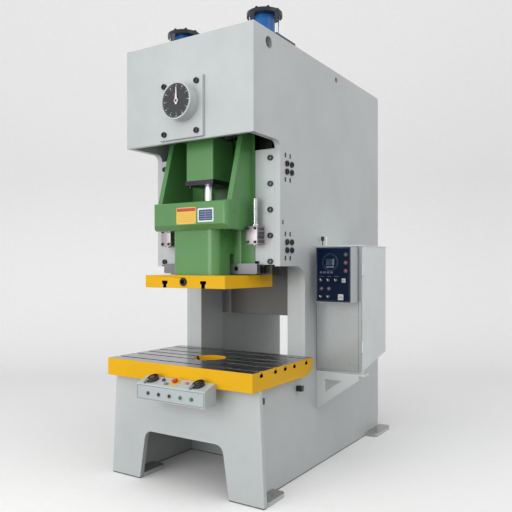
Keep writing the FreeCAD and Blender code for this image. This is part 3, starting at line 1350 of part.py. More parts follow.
CAB_RIGHT = "(half_width + cabinet_width)"
CAB_FRONT = "(cabinet_front + cabinet_door_t + cabinet_door_gap)"
LID_LOW = "(cabinet_high - cabinet_lid_t)"
cabinet_outline = [
    (CAB_FRONT, "cabinet_low"), ("cabinet_back", "cabinet_low + cabinet_rise"),
    ("cabinet_back", LID_LOW), (CAB_FRONT, LID_LOW),
]
cabinet_shell = plate("cabinet_shell", "yz", cabinet_outline, "half_width", "cabinet_width")
hollow_outline = [
    (CAB_FRONT + " - overrun", "cabinet_low + cabinet_wall"), (CAB_FRONT, "cabinet_low + cabinet_wall"),
    ("cabinet_back - cabinet_wall", "cabinet_low + cabinet_rise + cabinet_wall"),
    ("cabinet_back - cabinet_wall", LID_LOW + " - cabinet_wall"), (CAB_FRONT + " - overrun", LID_LOW + " - cabinet_wall"),
]
cabinet_hollow = plate("cabinet_hollow", "yz", hollow_outline, "half_width + cabinet_wall",
                       "cabinet_width - 2 * cabinet_wall")
cabinet_lid = box("cabinet_lid", ("half_width", "cabinet_front - cabinet_lid_lap", LID_LOW),
                  (CAB_RIGHT + " + cabinet_lid_lap", "cabinet_back + cabinet_lid_lap", "cabinet_high"))
HINGE_X = CAB_RIGHT + " + hinge_r + seat_gap"
HINGE_DEPTH = "cabinet_front + cabinet_door_t / 2"
hinges = []
for number, low in enumerate(("cabinet_low + hinge_inset", LID_LOW + " - hinge_inset - hinge_length")):
    hinges.append(rod("hinge_barrel%d" % number, "hinge_r", (HINGE_X, HINGE_DEPTH, low), "hinge_length"))
    hinges.append(box("hinge_leaf%d" % number, (CAB_RIGHT, CAB_FRONT, low),
                      (HINGE_X, CAB_FRONT + " + 4 * hinge_r", low + " + hinge_length")))
    hinges.append(box("hinge_arm%d" % number, (HINGE_X + " - hinge_r / 3", HINGE_DEPTH, low),
                      (HINGE_X + " + hinge_r / 3", CAB_FRONT + " + 4 * hinge_r", low + " + hinge_length")))
fittings = []
for number, across in enumerate(("2.5 * top_knob_r", "5 * top_knob_r")):
    at = ("half_width + " + across, "top_fitting_depth", "cabinet_high - overrun")
    fittings.append(rod("top_fitting%d" % number, "top_fitting_r", at, "top_fitting_rise + overrun"))
fittings.append(rod("top_knob", "top_knob_r", ("half_width + 2.5 * top_knob_r", "top_fitting_depth",
                                              "cabinet_high + top_fitting_rise - top_knob_t"), "top_knob_t"))
node(fuse("cabinet_body", [cut("cabinet_case", cabinet_shell, [cabinet_hollow]), cabinet_lid] + hinges + fittings))
DOOR_LEFT = "(half_width + cabinet_door_free)"
node(box("cabinet_door", (DOOR_LEFT, "cabinet_front", "cabinet_low"),
         (CAB_RIGHT, "cabinet_front + cabinet_door_t", LID_LOW + " - cabinet_door_gap")))

PANEL_LEFT = "(half_width + panel_left)"
PANEL_RIGHT = "(%s - panel_right)" % CAB_RIGHT
PANEL_FRONT = "(cabinet_front - panel_reach)"
panel_parts = [
    box("panel_housing", (PANEL_LEFT, PANEL_FRONT, "panel_low"), (PANEL_RIGHT, "cabinet_front", "panel_high")),
    box("panel_face", (PANEL_LEFT + " + panel_face_margin", PANEL_FRONT + " - panel_face_t",
                       "panel_low + panel_face_margin"),
        (PANEL_RIGHT + " - panel_face_margin", PANEL_FRONT, "panel_high - panel_face_margin")),
]
FACE_FRONT = "(%s - panel_face_t)" % PANEL_FRONT
for number in range(3):
    panel_parts.append(rod("panel_lamp%d" % number, "panel_lamp_r",
                           (PANEL_RIGHT + " - panel_lamp_x", FACE_FRONT + " - panel_lamp_t",
                            "panel_lamp_z - %d * panel_lamp_pitch" % number), "panel_lamp_t + panel_face_t", "y"))
for number in range(2):
    panel_parts.append(rod("row_lamp%d" % number, "panel_lamp_r",
                           (PANEL_LEFT + " + knob_first + %d * knob_pitch" % number, FACE_FRONT + " - panel_lamp_t",
                            "(knob_row_high + knob_row_low) / 2"), "panel_lamp_t + panel_face_t", "y"))
for name, across, height, grow in (("key_switch", "knob_first + 3 * knob_pitch", "knob_row_high", "1"),
                                   ("panel_socket", "knob_first + 2.6 * knob_pitch", "knob_row_low", "1.5")):
    panel_parts.append(box(name, ("%s + %s - %s * key_half" % (PANEL_LEFT, across, grow), FACE_FRONT + " - key_t",
                                  "%s - %s * key_half" % (height, grow)),
                           ("%s + %s + %s * key_half" % (PANEL_LEFT, across, grow), FACE_FRONT,
                            "%s + %s * key_half" % (height, grow))))
node(fuse("operator_panel", panel_parts))
knob_rows = [("knob_row_high", 0), ("knob_row_high", 1), ("knob_row_high", 2),
             ("knob_row_low", 0), ("knob_row_low", 1)]
for number, (row, column) in enumerate(knob_rows, start=1):
    middle = PANEL_LEFT + " + knob_first + %d * knob_pitch" % column
    back = FACE_FRONT + " - button_gap"
    disc = rod("knob_disc%d" % number, "knob_r", (middle, back + " - knob_t", row), "knob_t", "y")
    grip = box("knob_grip%d" % number, (middle + " - knob_grip_half", back + " - knob_t - knob_grip_rise",
                                        row + " - knob_r * 0.9"),
               (middle + " + knob_grip_half", back + " - knob_t / 2", row + " + knob_r * 0.9"))
    node(fuse("panel_knob_%d" % number, [disc, grip]))

SHELF_TOP = "(cabinet_low - shelf_gap)"
GUSSET_TOP = "(cabinet_low - shelf_gap - shelf_t)"
GUSSET_END = CAB_RIGHT + " - shelf_gusset_inset"
shelf = box("shelf_plate", ("half_width", "cabinet_front", GUSSET_TOP),
            (CAB_RIGHT + " + shelf_lap", "cabinet_front + shelf_reach", SHELF_TOP))
rail = box("shelf_rail", ("half_width", CAB_FRONT + " + shelf_rail_inset", SHELF_TOP + " - overrun"),
           (CAB_RIGHT + " - 2 * shelf_rail_inset", "cabinet_front + shelf_reach - shelf_rail_inset", "cabinet_low + seat_gap"))
gusset_outline = [
    ("half_width", GUSSET_TOP), (GUSSET_END, GUSSET_TOP), (GUSSET_END, GUSSET_TOP + " - shelf_gusset_end"),
    ("half_width", GUSSET_TOP + " - shelf_gusset_drop"),
]
window_outline = [
    ("half_width + shelf_window_inset", GUSSET_TOP + " - shelf_window_drop"),
    ("half_width + shelf_window_inset + shelf_window_width", GUSSET_TOP + " - shelf_window_drop"),
    ("half_width + shelf_window_inset", GUSSET_TOP + " - shelf_window_drop - shelf_window_height"),
]
gusset = plate("gusset", "xz", gusset_outline, "cabinet_front", "shelf_gusset_t")
window = plate("gusset_window", "xz", window_outline, "cabinet_front - overrun", "shelf_gusset_t + 2 * overrun")
node(fuse("cabinet_shelf", [shelf, rail, cut("gusset_cut", gusset, [window])]))

RACK_BACK = "(cabinet_back - cabinet_wall - overrun)"
RACK_LOW = "cabinet_low + cabinet_rise"
rack_parts = [box("rack_plate", ("half_width + rack_margin", RACK_BACK + " - rack_plate_t", RACK_LOW + " + rack_margin"),
                  (CAB_RIGHT + " - rack_margin", "cabinet_back - cabinet_wall", LID_LOW + " - rack_margin"))]
for row in range(3):
    for column in range(3):
        left = "half_width + 1.5 * rack_margin + %d * 1.9 * rack_margin" % column
        low = RACK_LOW + " + 1.5 * rack_margin + %d * 6 * rack_margin" % row
        rack_parts.append(box("rack_unit%d%d" % (row, column), (left, RACK_BACK + " - rack_depth", low),
                              (left + " + 1.6 * rack_margin", RACK_BACK, low + " + 3 * rack_margin")))
node(fuse("switchgear", rack_parts))

socket_boxes = [
    box("socket_box", ("half_width", "socket_box_depth - socket_box_length / 2", "socket_box_z - socket_box_height / 2"),
        ("half_width + socket_box_reach", "socket_box_depth + socket_box_length / 2",
         "socket_box_z + socket_box_height / 2")),
    box("plug_box", ("half_width", "plug_box_depth", "plug_box_z - socket_box_height / 2"),
        ("half_width + socket_box_reach", "plug_box_depth + socket_box_length", "plug_box_z + socket_box_height / 2")),
]
node(group("socket_boxes", socket_boxes))

# ---------------------------------------------------------------- checks and export

doc.recompute()
for item in doc.Objects:
    if "Invalid" in item.State or "Error" in item.State:
        raise RuntimeError("%s did not build" % item.Name)
for item in NODES:
    if item.Shape.isNull() or not item.Shape.isValid():
        raise RuntimeError("%s has no valid shape" % item.Name)
for item in NODES:
    item.Label = item.Name
    item.Shape.exportStep("parts/%s.step" % item.Name)
    spread = item.Shape.BoundBox
    print("%-22s solids %2d  x %7.1f %7.1f  y %7.1f %7.1f  z %7.1f %7.1f" % (
        item.Name, len(item.Shape.Solids), spread.XMin, spread.XMax, spread.YMin, spread.YMax,
        spread.ZMin, spread.ZMax))
print("sub-parts", len(NODES))
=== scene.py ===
"""Looks of a mechanical stamping press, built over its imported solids.

Metres, Z up, the front of the press towards -Y. Pieces take their places from the boxes of the solids they
dress, or are measured on them.
"""

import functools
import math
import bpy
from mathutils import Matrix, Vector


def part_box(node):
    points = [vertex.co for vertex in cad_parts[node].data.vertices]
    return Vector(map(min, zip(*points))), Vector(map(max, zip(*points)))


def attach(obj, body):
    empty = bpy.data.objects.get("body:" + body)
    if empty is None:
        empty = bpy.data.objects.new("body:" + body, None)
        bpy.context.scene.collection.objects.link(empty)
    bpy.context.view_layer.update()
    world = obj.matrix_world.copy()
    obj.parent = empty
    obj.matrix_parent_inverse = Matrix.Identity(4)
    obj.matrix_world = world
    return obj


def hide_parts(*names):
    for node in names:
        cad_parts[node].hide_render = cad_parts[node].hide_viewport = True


bl_info = {
    "name": "Stamping Press Looks",
    "version": (1, 0, 0),
    "blender": (4, 5, 0),
    "location": "3D View > Sidebar > Press",
    "description": "Paint, machined metal, screws, dial, buttons and stage of a mechanical stamping press",
    "category": "Object",
}

import bmesh
import bpy
from mathutils import Matrix, Vector

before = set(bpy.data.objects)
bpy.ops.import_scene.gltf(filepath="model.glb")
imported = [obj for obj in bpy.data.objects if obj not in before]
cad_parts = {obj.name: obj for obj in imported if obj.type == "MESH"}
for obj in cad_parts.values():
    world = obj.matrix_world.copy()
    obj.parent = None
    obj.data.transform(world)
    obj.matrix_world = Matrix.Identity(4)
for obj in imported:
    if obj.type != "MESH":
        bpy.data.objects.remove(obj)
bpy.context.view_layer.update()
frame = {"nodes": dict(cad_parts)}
NODES = frame["nodes"]


# ---------------------------------------------------------------- settings

def colour_prop(name, description, default):
    return bpy.props.FloatVectorProperty(
        name=name, description=description, default=default, size=3, min=0.0, max=1.0, subtype="COLOR")


def length_prop(name, description, default):
    return bpy.props.FloatProperty(
        name=name, description=description, default=default, min=0.0, unit="LENGTH", precision=4)


def share_prop(name, description, default):
    return bpy.props.FloatProperty(
        name=name, description=description, default=default, min=0.0, max=1.0, subtype="FACTOR")


class PressPaint(bpy.types.PropertyGroup):
    """Colours of the painted pieces."""
    frame: colour_prop("Frame", "Light grey enamel of the welded frame", (0.505, 0.535, 0.535))
    slide: colour_prop("Slide", "Green enamel of the slide and the connecting rod", (0.085, 0.25, 0.072))
    bolster: colour_prop("Bolster", "Yellow enamel of the bolster and the slide plate", (0.78, 0.425, 0.004))
    cylinder: colour_prop("Cylinders", "Blue enamel of the balance cylinders", (0.006, 0.12, 0.38))
    panel: colour_prop("Panel", "Dark blue face of the operator panel", (0.003, 0.009, 0.030))
    wear: share_prop("Wear", "How much paint is rubbed off the edges", 0.25)


class PressEdges(bpy.types.PropertyGroup):
    """Radii of the broken edges."""
    plate: length_prop("Plate edge", "Rounding on flame-cut plate edges", 0.004)
    casting: length_prop("Casting edge", "Rounding on cast edges", 0.009)
    machined: length_prop("Machined edge", "Chamfer on machined edges", 0.0015)


class PressFasteners(bpy.types.PropertyGroup):
    """Proportions of the screws."""
    socket: share_prop("Socket", "Hexagon socket across the flats, per head diameter", 0.52)
    chamfer: length_prop("Head chamfer", "Chamfer on a screw head", 0.0018)
    pitch: length_prop("Thread pitch", "Pitch of the knock-out stop screws", 0.004)


class PressSlide(bpy.types.PropertyGroup):
    """Bare faces and plates of the slide."""
    wing: length_prop("Guide face", "Half width of the painted part, between the guide faces", 0.3205)
    plate: length_prop("Plate", "Thickness of the two plates on its band", 0.0012)
    fin: length_prop("Fin", "Height of a fin on a knock-out bracket", 0.012)


class PressDial(bpy.types.PropertyGroup):
    """Marks on the angle dial."""
    tick: length_prop("Long tick", "Length of a long tick", 0.011)
    numeral: length_prop("Numeral", "Height of the numerals", 0.010)


class PressStage(bpy.types.PropertyGroup):
    """Floor, lights and camera."""
    tone: bpy.props.FloatProperty(name="Backdrop", description="Brightness of the empty surroundings",
                                  default=0.92, min=0.0, max=2.0)
    key: bpy.props.FloatProperty(name="Key light", description="Power of the soft light at the front left",
                                 default=150.0, min=0.0, unit="POWER")
    bounce: share_prop("Floor bounce", "Brightness of the light the floor gives back", 0.30)
    turn: bpy.props.FloatProperty(name="Camera turn", description="Camera's turn to the right of the front",
                                  default=math.radians(32.74), unit="ROTATION")


GROUPS = {
    "press_paint": PressPaint, "press_edges": PressEdges, "press_fasteners": PressFasteners,
    "press_slide": PressSlide, "press_dial": PressDial, "press_stage": PressStage,
}


def setting(group):
    return getattr(bpy.context.scene, group)


def paint(name):
    """One of the paint colours, as plain numbers."""
    return tuple(getattr(setting("press_paint"), name))


# ---------------------------------------------------------------- shader nodes

def add(tree, kind, **values):
    """Node with its inputs set by name or index, and its properties by attribute."""
    item = tree.nodes.new(kind)
    for key, value in values.items():
        if key.startswith("in_"):
            key = key[3:]
            item.inputs[int(key) if key.isdigit() else key.replace("_", " ")].default_value = value
        else:
            setattr(item, key, value)
    return item


def feed(tree, socket, value):
    """Give an input a number, a plain colour or another node's output."""
    if isinstance(value, (int, float)):
        socket.default_value = value
    elif isinstance(value, tuple):
        socket.default_value = (*value, 1.0)
    else:
        tree.links.new(value, socket)


def maths(tree, operation, *values, clamp=False):
    """Math node fed by sockets or numbers."""
    item = add(tree, "ShaderNodeMath", operation=operation, use_clamp=clamp)
    for socket, value in zip(item.inputs, values):
        feed(tree, socket, value)
    return item.outputs[0]


def product(tree, first, *others):
    """Product of masks, held between 0 and 1."""
    for other in others:
        first = maths(tree, "MULTIPLY", first, other, clamp=True)
    return first


def lifted(tree, value, level, gain):
    """How far a value is over a level, times a gain, held between 0 and 1."""
    return maths(tree, "MULTIPLY", maths(tree, "SUBTRACT", value, level), gain, clamp=True)


def mix_colour(tree, share, first, second):
    """Mix of two colours, each a socket or a plain colour."""
    item = add(tree, "ShaderNodeMix", data_type="RGBA")
    for number, value in ((0, share), (6, first), (7, second)):
        feed(tree, item.inputs[number], value)
    return item.outputs[2]


def mix_value(tree, share, first, second):
    item = add(tree, "ShaderNodeMix")
    for number, value in ((0, share), (2, first), (3, second)):
        feed(tree, item.inputs[number], value)
    return item.outputs[0]


def split(tree, vector):
    """Outputs X, Y and Z of a vector."""
    item = add(tree, "ShaderNodeSeparateXYZ")
    feed(tree, item.inputs[0], vector)
    return item.outputs


def vector_maths(tree, operation, first, second=None, output="Vector"):
    """Vector math node. The second vector is a socket or plain numbers."""
    item = add(tree, "ShaderNodeVectorMath", operation=operation)
    feed(tree, item.inputs[0], first)
    if isinstance(second, tuple):
        item.inputs[1].default_value = second
    elif second:
        feed(tree, item.inputs[1], second)
    return item.outputs[output]


def place(tree):
    """Place on the press, in metres."""
    return add(tree, "ShaderNodeTexCoord").outputs["Object"]


def noise(tree, scale, detail, roughness, vector=None):
    """Noise over the press, or over another vector. The scale is a number or a socket."""
    item = add(tree, "ShaderNodeTexNoise", in_Detail=detail, in_Roughness=roughness)
    feed(tree, item.inputs["Vector"], vector or place(tree))
    feed(tree, item.inputs["Scale"], scale)
    return item.outputs[0]


# ---------------------------------------------------------------- shader groups

def shader_group(name, inputs, outputs):
    """Empty node group. An input is a label, a kind and a value, and an output is the label of a float."""
    tree = bpy.data.node_groups.new(name, "ShaderNodeTree")
    for label, kind, value in inputs:
        socket = tree.interface.new_socket(label, in_out="INPUT", socket_type="NodeSocket" + kind)
        socket.default_value = value
    for label in outputs:
        tree.interface.new_socket(label, in_out="OUTPUT", socket_type="NodeSocketFloat")
    return tree, tree.nodes.new("NodeGroupInput").outputs, tree.nodes.new("NodeGroupOutput").inputs


def edge_wear_group():
    """Where a rounded edge stands out, broken up by noise."""
    bend_gain, patch_level, patch_gain = 7.0, 0.46, 6.0
    inputs = [("Width", "Float", 0.004), ("Scale", "Float", 30.0), ("Amount", "Float", 0.5)]
    tree, given, out = shader_group("Edge wear", inputs, ["Mask"])
    rounded = add(tree, "ShaderNodeBevel", samples=4)
    feed(tree, rounded.inputs["Radius"], given["Width"])
    likeness = vector_maths(tree, "DOT_PRODUCT", rounded.outputs[0],
                            add(tree, "ShaderNodeNewGeometry").outputs["Normal"], "Value")
    bend = maths(tree, "SUBTRACT", 1.0, likeness, clamp=True)
    edge = maths(tree, "MULTIPLY", bend, bend_gain, clamp=True)
    patch = lifted(tree, noise(tree, given["Scale"], 6.0, 0.65), patch_level, patch_gain)
    feed(tree, out["Mask"], product(tree, edge, patch, given["Amount"]))
    return tree


def enamel_grain_group():
    """Fine waviness of sprayed enamel and slow changes of its tone."""
    tree, given, out = shader_group(
        "Enamel grain", [("Scale", "Float", 220.0), ("Cloud", "Float", 1.6)], ["Height", "Tone"])
    feed(tree, out["Height"], noise(tree, given["Scale"], 3.0, 0.5))
    feed(tree, out["Tone"], noise(tree, given["Cloud"], 5.0, 0.6))
    return tree


def settled_dust_group():
    """Dust and oil film on surfaces that face up."""
    tree, given, out = shader_group("Settled dust", [("Amount", "Float", 0.3)], ["Mask"])
    facing = split(tree, add(tree, "ShaderNodeNewGeometry").outputs["Normal"])
    upward = lifted(tree, facing["Z"], 0.5, 2.0)
    patch = lifted(tree, noise(tree, 9.0, 8.0, 0.7), 0.35, 2.0)
    feed(tree, out["Mask"], product(tree, upward, patch, given["Amount"]))
    return tree


def tool_marks_group():
    """Lines that a cutter or a grinding wheel leaves, long in one direction."""
    line_share = 0.35
    inputs = [("Stretch", "Vector", (4.0, 300.0, 300.0)), ("Stain", "Float", 5.0)]
    tree, given, out = shader_group("Tool marks", inputs, ["Height", "Shade"])
    stretched = vector_maths(tree, "MULTIPLY", place(tree), given["Stretch"])
    lines = noise(tree, 1.0, 2.0, 0.6, stretched)
    stain = noise(tree, given["Stain"], 6.0, 0.62)
    feed(tree, out["Height"], lines)
    feed(tree, out["Shade"], maths(tree, "ADD", maths(tree, "MULTIPLY", lines, line_share),
                                   maths(tree, "MULTIPLY", stain, 1.0 - line_share)))
    return tree


def top_face_group():
    """Level surfaces above a height, as on a ground table."""
    tree, given, out = shader_group("Top face", [("Height", "Float", 0.0)], ["Mask"])
    facing = split(tree, add(tree, "ShaderNodeNewGeometry").outputs["True Normal"])
    level = maths(tree, "GREATER_THAN", facing["Z"], 0.8)
    high = maths(tree, "GREATER_THAN", split(tree, place(tree))["Z"], given["Height"])
    feed(tree, out["Mask"], product(tree, level, high))
    return tree


def zone_group():
    """Inside of a box, the same on the left and on the right of the press."""
    tree, given, out = shader_group(
        "Zone", [("Low", "Vector", (0.0, 0.0, 0.0)), ("High", "Vector", (1.0, 1.0, 1.0))], ["Mask"])
    spot, low, high = [split(tree, vector) for vector in (place(tree), given["Low"], given["High"])]
    inside = []
    for axis in "XYZ":
        value = maths(tree, "ABSOLUTE", spot[axis]) if axis == "X" else spot[axis]
        inside.append(maths(tree, "GREATER_THAN", value, low[axis]))
        inside.append(maths(tree, "LESS_THAN", value, high[axis]))
    feed(tree, out["Mask"], product(tree, *inside))
    return tree


GROUP_BUILDERS = {
    "Edge wear": edge_wear_group, "Enamel grain": enamel_grain_group, "Settled dust": settled_dust_group,
    "Tool marks": tool_marks_group, "Top face": top_face_group, "Zone": zone_group,
}
SHADER_GROUPS = {}


def effect(tree, name, **values):
    """Outputs of a shared shader group that has this material's own values."""
    if name not in SHADER_GROUPS:
        SHADER_GROUPS[name] = GROUP_BUILDERS[name]()
    item = add(tree, "ShaderNodeGroup", node_tree=SHADER_GROUPS[name])
    for label, value in values.items():
        item.inputs[label].default_value = value
    return item.outputs


def between(x=(-1.0, 1.0), y=(-2.0, 2.0), z=(0.0, 4.0)):
    """Low and high corner of a zone. The bounds that aren't given lie outside the press."""
    return tuple(zip(x, y, z))


# ---------------------------------------------------------------- materials

def shade(colour, factor):
    return tuple(min(1.0, max(0.0, c * factor)) for c in colour)


def spread(tree, value, low, high):
    """Noise, which keeps between 0.35 and 0.65, stretched to a range."""
    item = add(tree, "ShaderNodeMapRange", in_1=0.35, in_2=0.65, in_3=low, in_4=high)
    feed(tree, item.inputs[0], value)
    return item.outputs[0]


def toned(tree, value, colour, dark, light):
    """Colour that goes from a darker to a lighter shade of itself with the noise."""
    return mix_colour(tree, spread(tree, value, 0.0, 1.0), shade(colour, dark), shade(colour, light))


def bump(tree, shader, height, strength, distance):
    item = add(tree, "ShaderNodeBump", in_Strength=strength, in_Distance=distance)
    feed(tree, item.inputs["Height"], height)
    feed(tree, shader.inputs["Normal"], item.outputs[0])


MATERIALS = {}


def made_once(recipe):
    """Make a material by its recipe when its name is first used, and share it after that."""
    @functools.wraps(recipe)
    def shared(name, *values, **options):
        if name not in MATERIALS:
            material = bpy.data.materials.new(name)
            material.use_nodes = True
            tree = material.node_tree
            recipe(tree, tree.nodes["Principled BSDF"], *values, **options)
            MATERIALS[name] = material
        return MATERIALS[name]
    return shared


@made_once
def enamel(tree, shader, colour, rough=0.32, scale=220.0, depth=0.00008, tone=0.06, wear=1.0, dust=0.25,
           coat=0.15, under=(0.16, 0.155, 0.15), spots=(), specular=0.5):
    """Sprayed paint: fine waviness, uneven tone, rubbed edges and a little dust.

    Each spot is a low corner, a high corner and the other colour between them.
    """
    grain = effect(tree, "Enamel grain", Scale=scale)
    rubbed = effect(tree, "Edge wear", Width=0.003, Amount=setting("press_paint").wear * wear)["Mask"]
    settled = effect(tree, "Settled dust", Amount=dust)["Mask"]
    surface = toned(tree, grain["Tone"], colour, 1.0 - tone, 1.0 + tone)
    for low, high, other in spots:
        surface = mix_colour(tree, effect(tree, "Zone", Low=low, High=high)["Mask"], surface, other)
    surface = mix_colour(tree, settled, surface, tuple(0.55 * c + 0.16 for c in colour))
    feed(tree, shader.inputs["Base Color"], mix_colour(tree, rubbed, surface, under))
    clean = spread(tree, grain["Tone"], rough - 0.05, rough + 0.08)
    feed(tree, shader.inputs["Roughness"], maths(tree, "ADD", clean, maths(tree, "MULTIPLY", settled, 0.4)))
    bump(tree, shader, grain["Height"], 0.35, depth)
    shader.inputs["Coat Weight"].default_value = coat
    shader.inputs["Coat Roughness"].default_value = 0.18
    shader.inputs["Specular IOR Level"].default_value = specular


@made_once
def machined(tree, shader, colour, rough=0.3, stretch=(4.0, 300.0, 300.0), stain=0.18):
    """Bare metal with tool marks and faint stains."""
    marks = effect(tree, "Tool marks", Stretch=stretch)
    rubbed = effect(tree, "Edge wear", Width=0.002, Scale=60.0, Amount=0.5)["Mask"]
    surface = toned(tree, marks["Shade"], colour, 1.0 - stain, 1.0 + stain)
    feed(tree, shader.inputs["Base Color"], mix_colour(tree, rubbed, surface, shade(colour, 1.5)))
    feed(tree, shader.inputs["Roughness"], spread(tree, marks["Shade"], rough - 0.07, rough + 0.12))
    bump(tree, shader, marks["Height"], 0.3, 0.00003)
    shader.inputs["Metallic"].default_value = 1.0


@made_once
def moulded(tree, shader, colour, rough=0.28, grain=900.0, depth=0.00003, tone=0.05, dust=0.2):
    """Moulded plastic or rubber with a fine skin."""
    skin = effect(tree, "Enamel grain", Scale=grain, Cloud=14.0)
    settled = effect(tree, "Settled dust", Amount=dust)["Mask"]
    surface = toned(tree, skin["Tone"], colour, 1.0 - tone, 1.0 + tone)
    surface = mix_colour(tree, settled, surface, tuple(0.6 * c + 0.1 for c in colour))
    feed(tree, shader.inputs["Base Color"], surface)
    feed(tree, shader.inputs["Roughness"], spread(tree, skin["Tone"], rough - 0.05, rough + 0.1))
    bump(tree, shader, skin["Height"], 0.3, depth)


@made_once
def part_painted(tree, shader, colour, metal, bare=(), shade_and_rust=(), rough=(0.16, 0.34),
                 stretch=(2.0, 260.0, 260.0), specular=0.4, coat=0.0, gloss=(0.28, 0.40),
                 above=None, keep=None):
    """Enamel, with bare metal in the bare zones, and other metal colours in the shade and rust zones: painted
    shade in hollows, rust at slot ends.

    Level faces over the height above are bare too, but not within the circle to keep, (x, y, radius).
    """
    grain = effect(tree, "Enamel grain")
    marks = effect(tree, "Tool marks", Stretch=stretch, Stain=3.0)
    rubbed = effect(tree, "Edge wear", Width=0.003, Amount=setting("press_paint").wear)["Mask"]
    steel = toned(tree, marks["Shade"], metal, 0.7, 1.25)
    masks = []
    if above:
        masks.append(effect(tree, "Top face", Height=above)["Mask"])
        under_top = maths(tree, "SUBTRACT", 1.0, masks[0])
    # zones of painted shade, and of rust; level top faces over the height keep their steel
    for low, high, other in shade_and_rust:
        inside = effect(tree, "Zone", Low=low, High=high)["Mask"]
        if above:
            inside = maths(tree, "MULTIPLY", inside, under_top)
        steel = mix_colour(tree, inside, steel, other)
        masks.append(inside)
    for low, high in bare:
        masks.append(effect(tree, "Zone", Low=low, High=high)["Mask"])
    metal_mask = functools.reduce(lambda first, second: maths(tree, "MAXIMUM", first, second), masks)
    if keep:
        x, y, radius = keep
        offset = vector_maths(tree, "SUBTRACT", place(tree), (x, y, 0.0))
        flat = vector_maths(tree, "MULTIPLY", offset, (1.0, 1.0, 0.0))
        away = maths(tree, "GREATER_THAN", vector_maths(tree, "LENGTH", flat, output="Value"), radius)
        metal_mask = maths(tree, "MULTIPLY", metal_mask, away)
    painted = mix_colour(tree, rubbed, toned(tree, grain["Tone"], colour, 0.94, 1.05), (0.20, 0.17, 0.12))
    feed(tree, shader.inputs["Base Color"], mix_colour(tree, metal_mask, painted, steel))
    feed(tree, shader.inputs["Metallic"], metal_mask)
    feed(tree, shader.inputs["Roughness"], mix_value(tree, metal_mask, spread(tree, grain["Tone"], *gloss),
                                                     spread(tree, marks["Shade"], *rough)))
    bump(tree, shader, marks["Height"], 0.2, 0.00003)
    shader.inputs["Specular IOR Level"].default_value = specular
    shader.inputs["Coat Weight"].default_value = coat
    shader.inputs["Coat Roughness"].default_value = 0.1


def frame_enamel():
    """Light grey, with a painted contact shadow along the floor and painted shade in the throat."""
    # painted contact shadow: a near-black strip along the foot of the frame
    floor_shadow = (*between(z=(-0.1, 0.007)), (0.09, 0.09, 0.085))
    # painted shade: darker grey inside the throat, between the posts
    throat = (*between(x=(-1.0, 0.3735), y=(-0.32, 0.95), z=(0.90, 1.60)), (0.17, 0.16, 0.145))
    return enamel("frame_enamel", paint("frame"), rough=0.38, coat=0.1, spots=[floor_shadow, throat])


def slide_enamel():
    return enamel("slide_enamel", paint("slide"), rough=0.28, scale=160.0, coat=0.2, depth=0.00015)


def slide_finish():
    """Green enamel, with the guide faces at the sides and the back left bare, and painted shade near the top,
    where these bare faces turn near-black.
    """
    sides = (setting("press_slide").wing, 1.0)
    # painted shade: above 2.12 m the bare faces at the sides are near-black
    return part_painted("slide_finish", paint("slide"), (0.16, 0.147, 0.135), bare=[between(x=sides)],
                        shade_and_rust=[(*between(x=sides, z=(2.12, 4.0)), (0.03, 0.027, 0.024))], rough=(0.22, 0.42),
                        stretch=(220.0, 220.0, 4.0), specular=0.5, coat=0.2, gloss=(0.26, 0.36))


def black_enamel():
    return enamel("black_enamel", (0.018, 0.018, 0.02), rough=0.35, wear=0.6, under=(0.3, 0.3, 0.3))


def joint_grey():
    return enamel("joint_grey", (0.13, 0.135, 0.14), rough=0.6)


def black_oxide():
    return machined("black_oxide", (0.045, 0.046, 0.05), rough=0.36, stretch=(180.0, 180.0, 180.0), stain=0.3)


def ground_steel():
    return machined("ground_steel", (0.50, 0.50, 0.51), rough=0.3, stretch=(300.0, 300.0, 6.0))


def bright_steel():
    return machined("bright_steel", (0.72, 0.72, 0.73), rough=0.2, stretch=(200.0, 200.0, 5.0), stain=0.08)


def bronze():
    return machined("bronze", (0.42, 0.26, 0.11), rough=0.32)


def white_ink():
    return moulded("white_ink", (0.78, 0.78, 0.76), rough=0.5)


def black_plastic():
    return moulded("black_plastic", (0.016, 0.016, 0.018), rough=0.24)


# ---------------------------------------------------------------- mesh helpers

def turn_to(direction):
    """Matrix that turns +Z to a direction."""
    return Vector((0.0, 0.0, 1.0)).rotation_difference(Vector(direction).normalized()).to_matrix().to_4x4()


def move(x, y, z):
    return Matrix.Translation((x, y, z))


def seat(at, direction=(0.0, 0.0, 1.0)):
    return Matrix.Translation(Vector(at)) @ turn_to(direction)


def spin(degrees):
    """Matrix that turns round +Z."""
    return Matrix.Rotation(math.radians(degrees), 4, "Z")


def front(x, y, z):
    """Place on a face that looks to the front: local x to the right, y up, z out."""
    return seat((x, y, z), (0.0, -1.0, 0.0))


def evenly(first, last, count):
    """Places from the first to the last, all the same distance apart."""
    return [first + (last - first) * number / (count - 1) for number in range(count)]


def middle_of(low, high):
    return (Vector(low) + Vector(high)) / 2


def round_ring(radius, height, steps):
    angles = [2 * math.pi * number / steps for number in range(steps)]
    return [Vector((radius * math.cos(angle), radius * math.sin(angle), height)) for angle in angles]


def hex_ring(across, height, steps):
    """Points round a hexagon, as many as the round rings have."""
    points = []
    for number in range(steps):
        angle = 2 * math.pi * number / steps
        lean = (angle + math.pi / 6) % (math.pi / 3) - math.pi / 6
        radius = across / 2 / math.cos(lean)
        points.append(Vector((radius * math.cos(angle), radius * math.sin(angle), height)))
    return points


